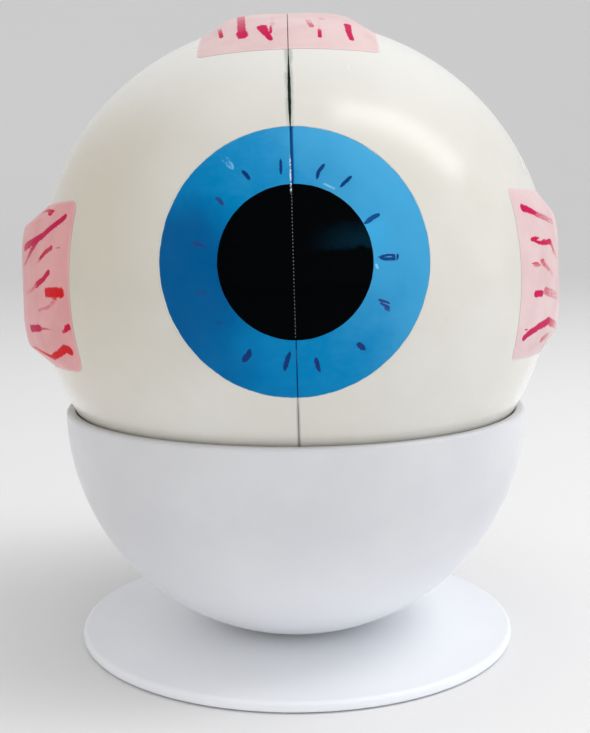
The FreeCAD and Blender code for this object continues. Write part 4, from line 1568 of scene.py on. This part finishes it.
@dataclass
class Lining:
    """Half of the inner shell, choroid outside and retina inside, with its half of the ciliary ring."""

    side: Side
    outer: float = 70.6
    wall: float = 3.0
    mouth: float = 30.0
    gap: float = 0.03
    seam_round: float = 0.3
    ring_back: float = 50.6
    ring_bore: float = 26.4
    ring_clearance: float = 0.05
    folds: int = 36
    fold_depth: float = 0.63

    def shell(self) -> Skin:
        """Half shell, radius * ray, off the seam by an even gap and narrowed there by quarter rounds.

        Returns:
            The half shell, in the eye frame.
        """
        t = spread(170, 0.0, 1.0, 0.9)[:, None]
        b = spread(170, -HALF_PI, HALF_PI, 0.95)[None, :]
        faces = []
        for radius, inwards in ((self.outer, 1.0), (self.outer - self.wall, -1.0)):
            start = math.asin(self.mouth / radius)
            ray = ball_rays(start + (math.pi - start) * t, b)
            grid = ray * (radius - inwards * edge_drop(radius * ray[..., 0], self.seam_round))[..., None]
            grid[..., 0] += self.gap * (1.0 - grid[..., 0] / radius)
            grid[..., 0] *= self.side.value
            faces.append(grid)
        skin = closed_patch(*faces)
        skin.values = {"retina": np.repeat([0.0, 1.0], t.size * b.size), **retina_vessels(skin.points)}
        return skin

    def ring(self) -> Skin:
        """Half of the ciliary ring: its outline carried round the axis with radial folds on the front.

        The fold's height is (0.5 + 0.5 cos(folds * b))^1.5, taken off the front slope and the bore.

        Returns:
            The half ring, in the eye frame.
        """
        seat = self.outer - self.wall - self.ring_clearance
        front = math.sqrt(seat**2 - self.mouth**2)
        first = math.degrees(math.asin(front / seat))
        last = math.degrees(math.asin(self.ring_back / seat))
        bore, back = self.ring_bore, self.ring_back
        path = Outline(bore, back).line(bore, front - self.mouth + bore, 12)
        path.line(self.mouth, front, 14).arc(seat, first, last, 16).line(bore, back, 9)
        radius, depth = path.points.T
        kind = np.concatenate([np.linspace(0.0, 1.0, 13), np.linspace(1.0, 0.0, 14), np.zeros(25)])
        b = spread(420, -HALF_PI, HALF_PI, 0.3)[:, None]
        crest = (0.5 + 0.5 * np.cos(self.folds * 2.0 * b)) ** 1.5
        cut = self.fold_depth * (1.0 - crest) * kind
        r = radius + cut
        grid = points_at((r * np.cos(b) + self.gap) * self.side.value, cut - depth, r * np.sin(b))
        rows, columns = r.shape
        ends = [self.cap(columns, 0), self.cap(columns, (rows - 1) * columns)[:, ::-1]]
        faces = np.concatenate([grid_faces(rows, columns), *ends])
        return Skin(grid.reshape(-1, 3), faces, {"crest": (crest * np.ones_like(r)).ravel()})

    def cap(self, count: int, start: int) -> Array:
        """Faces that close the ring's cut end, pairing the count points from start on from both ends.

        Args:
            count: Points round the end.
            start: Index of the first of them.

        Returns:
            The faces, four corners each.
        """
        front = start + np.arange(count // 2)
        back = start + count - 1 - np.arange(count // 2)
        return np.stack([front[:-1], front[1:], back[1:], back[:-1]], axis=-1)

    def build(self, lining: Material, ciliary: Material) -> None:
        """Make and dress the lining and the ring.

        Args:
            lining: Paint of the shell.
            ciliary: Paint of the ring.
        """
        half = self.side.word
        body = f"{half}_lining"
        shell, ring = SEAT.seated(self.shell()), SEAT.seated(self.ring())
        add_piece(f"choroid_retina_{half}", shell, lining, body, f"choroid_{half}", 50.0)
        node = f"ciliary_body_{half}"
        add_piece(f"folded_ciliary_ring_{half}", ring, ciliary, body, node, 50.0)


def vessel_strokes() -> list[Stroke]:
    """The retina's vessels: four arcades that leave the nerve head and fork, each as an artery and a vein.

    Returns:
        The strokes, in degrees round the back of the eye.
    """
    arcades = (
        ((15.0, 3.0), (12.0, 16.0), (-6.0, 30.0), (-34.0, 33.0), (-62.0, 26.0)),
        ((16.5, 3.0), (24.0, 18.0), (42.0, 32.0), (64.0, 40.0)),
        ((15.0, -3.0), (11.0, -17.0), (-8.0, -31.0), (-36.0, -34.0), (-64.0, -24.0)),
        ((16.5, -3.0), (25.0, -17.0), (44.0, -30.0), (66.0, -42.0)),
    )
    strokes = []
    for arcade in arcades:
        sign = math.copysign(1.0, arcade[1][1])
        for shift, tone, width in ((0.0, 0.0, 0.75), (3.2, 1.0, 1.0)):
            main = tuple((x, y + sign * shift * min(1.0, abs(y) / 16.0)) for x, y in arcade)
            lines = [(main, 1.0, 0.45)]
            for (x, y), (next_x, next_y) in zip(main[1:-1], main[2:]):
                run, rise = next_x - x, next_y - y
                outward = (x - 0.45 * rise * sign + 0.5 * run, y + sign * 0.75 * abs(run) + 0.4 * rise)
                tip = (outward[0] + 0.5 * run, outward[1] + sign * (13.0 + 2.0 * shift))
                inward = (x + 0.55 * run, y - sign * (7.0 + shift))
                end = (inward[0] + 0.3 * run, inward[1] - sign * 4.0)
                lines += [(((x, y), outward, tip), 0.6, 0.35), (((x, y), inward, end), 0.4, 0.4)]
            strokes += [Stroke(line, width * share, tone=tone, taper=taper) for line, share, taper in lines]
    return strokes


def retina_vessels(points: Array) -> dict[str, Array]:
    """Numbers from which the retina's branching vessels are painted.

    The retina is laid flat round the back: a point's angle from the optical axis, in degrees, times the
    direction it lies in.

    Args:
        points: Points in the eye frame.

    Returns:
        The edge and the tone number of the nearest vessel, for each point.
    """
    x, y, z = points.T
    polar = np.degrees(np.arccos(np.clip(y / np.linalg.norm(points, axis=-1), -1.0, 1.0)))
    flat = polar / np.maximum(np.hypot(x, z), 1e-9)
    found = brush_marks(x * flat, z * flat, vessel_strokes())
    return {"vessel_edge": found["brush_edge"], "vessel_tone": found["brush_tone"]}


@dataclass
class ClearCore:
    """Lens and hollow vitreous body, both clear."""

    lens_radius: float = 26.0
    lens_edge: float = 2.0
    lens_round: float = 0.4
    front_rise: float = 8.0
    back_rise: float = 12.0
    lens_plane: float = 52.0
    vitreous: float = 67.2
    vitreous_wall: float = 2.5
    vitreous_front: float = 50.2
    rest_gap: float = 0.3

    def curve_radius(self, rise: float) -> float:
        """Radius of the lens face that rises this far above its edge."""
        return (self.lens_radius**2 + rise**2) / (2.0 * rise)

    def forward(self, skin: Skin) -> Skin:
        """Turn a surface drawn along Z to look along the optical axis, and seat it."""
        x, y, h = skin.points.T
        return SEAT.seated(skin.moved(points_at(x, -h, y)))

    def lens(self) -> Skin:
        """Two curved faces joined by a narrow edge with small rounds.

        Returns:
            The lens, drawn along Z.
        """
        r = spread(70, 0.0, self.lens_radius, 0.7)
        front, back = self.curve_radius(self.front_rise), self.curve_radius(self.back_rise)
        drop = edge_drop(self.lens_radius - r, self.lens_round)
        up = self.lens_edge / 2.0 + np.sqrt(front**2 - r**2) - front + self.front_rise - drop
        down = self.lens_edge / 2.0 + np.sqrt(back**2 - r**2) - back + self.back_rise - drop
        outline = np.stack([np.append(r, r[::-1]), self.lens_plane + np.append(-down, up[::-1])], axis=-1)
        return turned(outline, 192, closed=False)

    def vitreous_form(self, inset: float) -> Skin:
        """A ball with a flat front and a dish for the lens, drawn in by inset all over.

        Args:
            inset: How far it is drawn in.

        Returns:
            The form, drawn along Z.
        """
        radius, front = self.vitreous - inset, self.vitreous_front - inset
        dish = self.curve_radius(self.back_rise) + self.rest_gap + inset
        middle = self.lens_plane - self.lens_edge / 2.0 - self.back_rise + self.curve_radius(self.back_rise)
        rim = math.sqrt(dish**2 - (middle - front) ** 2)
        round_end = math.degrees(math.asin(front / radius))
        dish_end = math.degrees(math.atan2(front - middle, rim))
        path = Outline(0.0, -radius).arc(radius, -90.0, round_end, 110)
        return turned(path.line(rim, front, 14).arc(dish, dish_end, -90.0, 40).points, 192, closed=False)

    def build(self, lens: Material, vitreous: Material) -> None:
        """Make and dress the lens and the vitreous body.

        Args:
            lens: Plastic of the lens.
            vitreous: Plastic of the vitreous body.
        """
        solid = self.forward(self.lens())
        add_piece("clear_lens", solid, lens, "lens", "crystalline_lens", 50.0)
        outer, inner = self.vitreous_form(0.0), self.vitreous_form(self.vitreous_wall)
        inner.faces = inner.faces[:, ::-1]
        ball = self.forward(merged([outer, inner]))
        add_piece("clear_vitreous_body", ball, vitreous, "vitreous", "vitreous_body", 50.0)


# ---- Stand ----


@dataclass
class Stand:
    """Base plate, cup and the screw, washer and nut that hold them together."""

    base_radius: float = 64.5
    base_thickness: float = 3.0
    base_round: float = 1.2
    hole: float = 2.08
    sink: float = 4.38
    foot_height: float = 3.08
    foot_radius: float = 16.0
    cup_radius: float = 68.0
    cup_wall: float = 3.0
    cup_floor: float = 4.0
    rim_round: float = 1.0
    screw_radius: float = 2.05
    washer_radius: float = 4.5
    washer_thickness: float = 0.8
    washer_round: float = 0.2
    nut_flats: float = 7.0
    nut_height: float = 3.2

    @property
    def floor(self) -> float:
        """Height of the cup's inside floor, on which the washer lies."""
        return self.foot_height + self.cup_floor

    def base(self) -> Skin:
        """Thin plate with rounded edges, countersunk from below; its outline turned round the Z axis.

        Returns:
            The plate.
        """
        r, t, e = self.base_radius, self.base_thickness, self.base_round
        path = Outline(self.hole, t).line(r - e, t, 40).arc(e, 90.0, 0.0, 10).line(r, e, 3)
        path.arc(e, 0.0, -90.0, 10).line(self.sink, 0.0, 40).line(self.hole, self.sink - self.hole, 3)
        return turned(path.line(self.hole, t, 2).points[:-1], 256)

    def cup(self) -> Skin:
        """Bowl with a flat foot, a thick floor and a rounded rim; its outline turned round the Z axis.

        Returns:
            The cup.
        """
        rim = self.foot_height + math.sqrt(self.cup_radius**2 - self.foot_radius**2)
        inner, e = self.cup_radius - self.cup_wall, self.rim_round
        in_round = math.sqrt((inner + e) ** 2 - e**2)
        out_tilt = math.degrees(math.asin(-e / (self.cup_radius - e)))
        in_tilt = math.degrees(math.asin(-e / (inner + e)))
        foot_angle = math.degrees(math.asin((self.foot_height - rim) / self.cup_radius))
        floor_angle = math.degrees(math.asin((self.floor - rim) / inner))
        path = Outline(self.screw_radius, self.foot_height).line(self.foot_radius, self.foot_height, 10)
        path.arc(self.cup_radius, foot_angle, out_tilt, 120).arc(e, out_tilt, 90.0, 8).line(in_round, rim, 3)
        path.arc(e, 90.0, 180.0 + in_tilt, 8).arc(inner, in_tilt, floor_angle, 110)
        path.line(self.screw_radius, self.floor, 20).line(self.screw_radius, self.foot_height, 3)
        return turned(path.points[:-1], 256)

    def nut(self) -> Skin:
        """Hexagon nut with chamfered corners.

        Its outer radius is (flats / 2) / cos of the angle from the middle of the nearest flat, and both
        faces fall away past the flats by the tangent of 30 degrees.

        Returns:
            The nut.
        """
        bottom, flat, bore = self.floor + self.washer_thickness, self.nut_flats / 2.0, self.screw_radius
        angle = np.arange(192)[:, None] * 2.0 * np.pi / 192
        reach = flat / np.cos((angle + np.pi / 6.0) % (np.pi / 3.0) - np.pi / 6.0)
        reach = np.minimum(reach, flat * 1.135)
        r = bore + (reach - bore) * np.array([0.0, 0.5, 0.8, 0.97, 1.0])
        drop = np.maximum(r - flat * 0.97, 0.0) * math.tan(math.radians(30.0))
        r = np.append(r, r[:, ::-1], axis=1)
        height = np.append(bottom + drop, (bottom + self.nut_height - drop)[:, ::-1], axis=1)
        return wrapped(points_at(r * np.sin(angle), r * np.cos(angle), height))

    def washer(self) -> Skin:
        """Flat ring with small rounds on its outer edge.

        Returns:
            The washer.
        """
        high, r, e = self.floor + self.washer_thickness, self.washer_radius, self.washer_round
        path = Outline(self.screw_radius, self.floor).line(r - e, self.floor, 6).arc(e, -90.0, 0.0, 4)
        path.line(r, high - e, 1).arc(e, 0.0, 90.0, 4).line(self.screw_radius, high, 6)
        return turned(path.points, 96)

    def build(self, base: Material, cup: Material, steel: Material) -> None:
        """Make and dress the stand's pieces, and repaint the screw.

        Args:
            base: Plastic of the base plate.
            cup: Plastic of the cup.
            steel: Metal of the small fasteners.
        """
        add_piece("round_base_plate", self.base(), base, "stand", "base_plate")
        add_piece("eye_cup", self.cup(), cup, "cup", "stand_cup")
        add_piece("steel_washer", self.washer(), steel, "cup", "cup_washer")
        add_piece("steel_nut", self.nut(), steel, "cup", "cup_nut", 25.0)
        repaint("cup_screw", steel)


# ---- Studio ----


@dataclass(frozen=True)
class Lamp:
    """A soft rectangular lamp: its centre, width and height in metres, and power in watts."""

    name: str
    place: tuple[float, float, float]
    size: tuple[float, float]
    power: float
    colour: Colour = (1.0, 1.0, 1.0)
    along: tuple[float, float, float] | None = None
    mirrored: bool = False


LAMPS: tuple[Lamp, ...] = (
    Lamp("strip", (0.59, -0.11, 0.92), (0.88, 0.20), 1.8, (1.0, 0.99, 0.98), (0.61, 0.23, -0.436), True),
    Lamp("over the right", (0.60, -0.02, 0.92), (0.80, 0.34), 3.4, (1.0, 0.99, 0.98)),
    Lamp("right", (3.45, -1.65, 0.40), (2.7, 2.7), 8.0),
    Lamp("top", (-0.10, -0.10, 1.40), (1.0, 1.0), 3.8),
    Lamp("left", (-3.30, -2.70, 0.98), (2.7, 2.7), 3.0, (1.0, 0.91, 0.78)),
)


@dataclass
class Studio:
    """Camera, lamps, floor and pale surroundings."""

    camera_distance: float = 358.3
    camera_height: float = 131.7
    pitch: float = 5.10
    roll: float = -0.42
    lens: float = 58.93
    sensor: float = 36.0
    rise: float = -0.0907
    floor_sink: float = 0.0002
    floor_flat: float = 1.5
    window_tint: Colour = (0.06, 0.80, 0.95)
    window_glow: float = 31.0
    sky_low: Colour = (1.26, 1.27, 1.29)
    sky_left: Colour = (0.93, 0.87, 0.775)
    sky_high: Colour = (0.54, 0.545, 0.55)

    def camera(self) -> None:
        """The camera, level with the upper part of the ball and looking slightly down."""
        data = bpy.data.cameras.new("camera")
        data.lens, data.sensor_width, data.shift_y = self.lens, self.sensor, self.rise
        data.clip_start, data.clip_end = 0.02, 20.0
        tilt = Matrix.Rotation(math.radians(90.0 - self.pitch), 4, "X")
        place = Matrix.Translation((0.0, -self.camera_distance * MM, self.camera_height * MM))
        camera = placed("camera", data)
        camera.matrix_world = place @ tilt @ Matrix.Rotation(math.radians(self.roll), 4, "Z")
        bpy.context.scene.camera = camera

    def lamp(self, kind: Lamp) -> None:
        """A rectangular soft lamp that faces the ball, seen in glossy paint only where it says so.

        Args:
            kind: The lamp's place, size and light.
        """
        data = bpy.data.lights.new(kind.name, "AREA")
        data.shape, data.size, data.size_y = "RECTANGLE", kind.size[0], kind.size[1]
        data.energy, data.color = kind.power, kind.colour
        back = (Vector(kind.place) - Vector((0.0, 0.0, SEAT.centre_height * MM))).normalized()
        width = Vector(kind.along) if kind.along else Vector((0.0, 0.0, 1.0)).cross(back)
        width = (width - width.dot(back) * back).normalized()
        lamp = placed(kind.name, data)
        turn = Matrix((width, back.cross(width), back)).transposed().to_4x4()
        lamp.matrix_world = Matrix.Translation(kind.place) @ turn
        lamp.visible_glossy = kind.mirrored

    def backdrop(self, name: str, grid: Array) -> bpy.types.Object:
        """A grid of points, in metres, as an open sheet.

        Args:
            name: Name of the object.
            grid: The points.

        Returns:
            The new object.
        """
        mesh = bpy.data.meshes.new(name)
        mesh.from_pydata(grid.reshape(-1, 3).tolist(), [], grid_faces(*grid.shape[:2]).tolist())
        mesh.shade_smooth()
        thing = placed(name, mesh)
        return thing

    def floor(self) -> None:
        """A pale sheet under the stand, flat at first; far behind it rises as the square of the distance."""
        x = np.linspace(-12.0, 12.0, 49)[None, :]
        y = np.linspace(-12.0, 6.0, 145)[:, None]
        rise = 0.35 * np.maximum(y - self.floor_flat, 0.0) ** 2
        floor = self.backdrop("floor", points_at(x, y, rise - self.floor_sink))
        sheet = FinishSheet("floor", Roughness=0.7, Specular_IOR_Level=0.2)
        cloud = sheet.noise(sheet.own_position(), 1.2, 3.0)
        pale = sheet.blend(cloud, (0.72, 0.72, 0.73), (0.75, 0.75, 0.755))
        seen = sheet.add("ShaderNodeLightPath", output="Is Camera Ray")
        sheet.surface(Base_Color=sheet.blend(seen, (0.92, 0.93, 0.95), pale))
        floor.data.materials.append(sheet.material)

    def window_light(self) -> Material:
        """Dim light, broken as by leaves and fading to the panel's edges, that only glossy paint shows.

        Returns:
            The material.
        """
        material = bpy.data.materials.new("window light")
        material.use_nodes = True
        material.node_tree.nodes.clear()
        sheet = NodeSheet(material.node_tree)
        drawn_up = sheet.stretched(sheet.own_position(), (1.0, 1.0, 0.5))
        leaves = sheet.noise(drawn_up, 16.0, 4.0, 0.7) * 0.9 - 0.45
        height = sheet.number("pane_up") + leaves
        band = height.step(-0.75, -0.45) * height.fade(-0.3, 1.0)
        glow = band * sheet.number("pane_across").step(-1.0, 0.5)
        light = {"Color": self.window_tint, "Strength": glow * self.window_glow}
        clear = sheet.add("ShaderNodeBsdfTransparent")
        both = sheet.add("ShaderNodeAddShader", {0: clear, 1: sheet.add("ShaderNodeEmission", light)})
        glossy = sheet.add("ShaderNodeLightPath", output="Is Glossy Ray")
        mixed = sheet.add("ShaderNodeMixShader", {0: glossy, 1: clear, 2: both})
        sheet.node("ShaderNodeOutputMaterial", {0: mixed})
        return material

    def window(self) -> None:
        """A dim blue-green window in front, which lights the two painted fronts and nothing else.

        The panel carries a grid of points with its own width and height numbers, from -1 to 1.
        """
        centre, across, up = np.array(((0.42, -1.02, 0.53), (0.34, 0.145, 0.0), (0.0, 0.06, 0.17)))
        u, v = np.meshgrid(np.linspace(-1.0, 1.0, 21), np.linspace(-1.0, 1.0, 21))
        window = self.backdrop("window", centre + u[..., None] * across + v[..., None] * up)
        for name, numbers in (("pane_across", u), ("pane_up", v)):
            attribute = window.data.attributes.new(name, "FLOAT", "POINT")
            attribute.data.foreach_set("value", numbers.astype(np.float32).ravel())
        window.data.materials.append(self.window_light())
        window.visible_shadow = window.visible_diffuse = False
        mirrors = bpy.data.collections.new("window mirrors")
        for side in Side:
            mirrors.objects.link(bpy.data.objects[f"painted_front_{side.word}"])
        window.light_linking.receiver_collection = mirrors

    def surroundings(self) -> None:
        """Pale light all round, brighter towards the horizon as between white walls, warmer at the left."""
        world = bpy.data.worlds.new("surroundings")
        world.use_nodes = True
        bpy.context.scene.world = world
        sheet = NodeSheet(world.node_tree)
        x, _, z = sheet.parts(sheet.vector("NORMALIZE", sheet.own_position()))
        low = sheet.blend(x.step(-1.0, 0.6), self.sky_left, self.sky_low)
        sky = sheet.blend(sheet.math("ABSOLUTE", z, clamp=True), low, self.sky_high)
        sheet.join(world.node_tree.nodes["Background"].inputs["Color"], sky)

    def build(self) -> None:
        """Set up the studio."""
        self.camera()
        for kind in LAMPS:
            self.lamp(kind)
        self.floor()
        self.window()
        self.surroundings()
        bpy.context.scene.view_settings.view_transform = "Standard"


def build_muscles(side_pink: Material, other_pink: Material) -> None:
    """Make the six muscle pieces: one on each side and two halves above and below.

    Args:
        side_pink: Paint of the lateral muscle.
        other_pink: Paint of the others.
    """
    lateral = Muscle(
        "lateral_rectus", Place.SIDE, Side.TEMPORAL, 6.0, 22.7, 1.1, 2.2, LATERAL_STROKES, corner=3.0
    )
    lateral.build(side_pink)
    medial = Muscle("medial_rectus", Place.SIDE, Side.NASAL, 2.8, 22.7, 0.58, 2.2, MEDIAL_STROKES, front=46.1)
    medial.build(other_pink)
    for side in Side:
        for name, place, strokes in (
            ("superior", Place.CROWN, SUPERIOR_STROKES),
            ("inferior", Place.KEEL, INFERIOR_STROKES),
        ):
            node = f"{name}_rectus_{side.word}"
            Muscle(node, place, side, 2.4, 24.3, 0.42, 6.0, strokes, front=44.6).build(other_pink)


def main() -> None:
    """Build the model's pieces in order, then the studio."""
    logging.basicConfig(level=logging.INFO, format="%(name)s: %(message)s")
    sclera, iris = ScleraPaint().make(), IrisPaint().make()
    lining, ciliary = LiningPaint().make(), CiliaryPaint().make()
    for side in Side:
        BallHalf(side).build(sclera, iris)
        Lining(side).build(lining, ciliary)
    build_muscles(
        MusclePaint("lateral muscle paint", rgb(216, 154, 155), rgb(208, 142, 143)).make(),
        MusclePaint("muscle paint", rgb(210, 184, 184), rgb(203, 173, 174)).make(),
    )
    sheath = ScleraPaint("nerve sheath paint", rgb(236, 226, 200), rgb(226, 212, 182))
    OpticNerve().build(sheath.make(), NervePaint().make())
    SeamPegs().build(PlainMetal("peg brass", (0.80, 0.58, 0.27), (0.62, 0.44, 0.21)).make())
    lens = ClearPlastic("lens plastic", (0.95, 0.95, 0.90), haze=0.02)
    ClearCore().build(lens.make(), ClearPlastic("vitreous plastic", (0.90, 0.95, 0.97)).make())
    steel = PlainMetal("zinc-plated steel", (0.66, 0.67, 0.68), (0.50, 0.51, 0.50)).make()
    base = StandPlastic("base plastic", rgb(226, 228, 233), rgb(221, 224, 230))
    Stand().build(base.make(), StandPlastic("cup plastic", rough=0.34).make(), steel)
    Studio().build()
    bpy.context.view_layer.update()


if __name__ == "__main__":
    main()
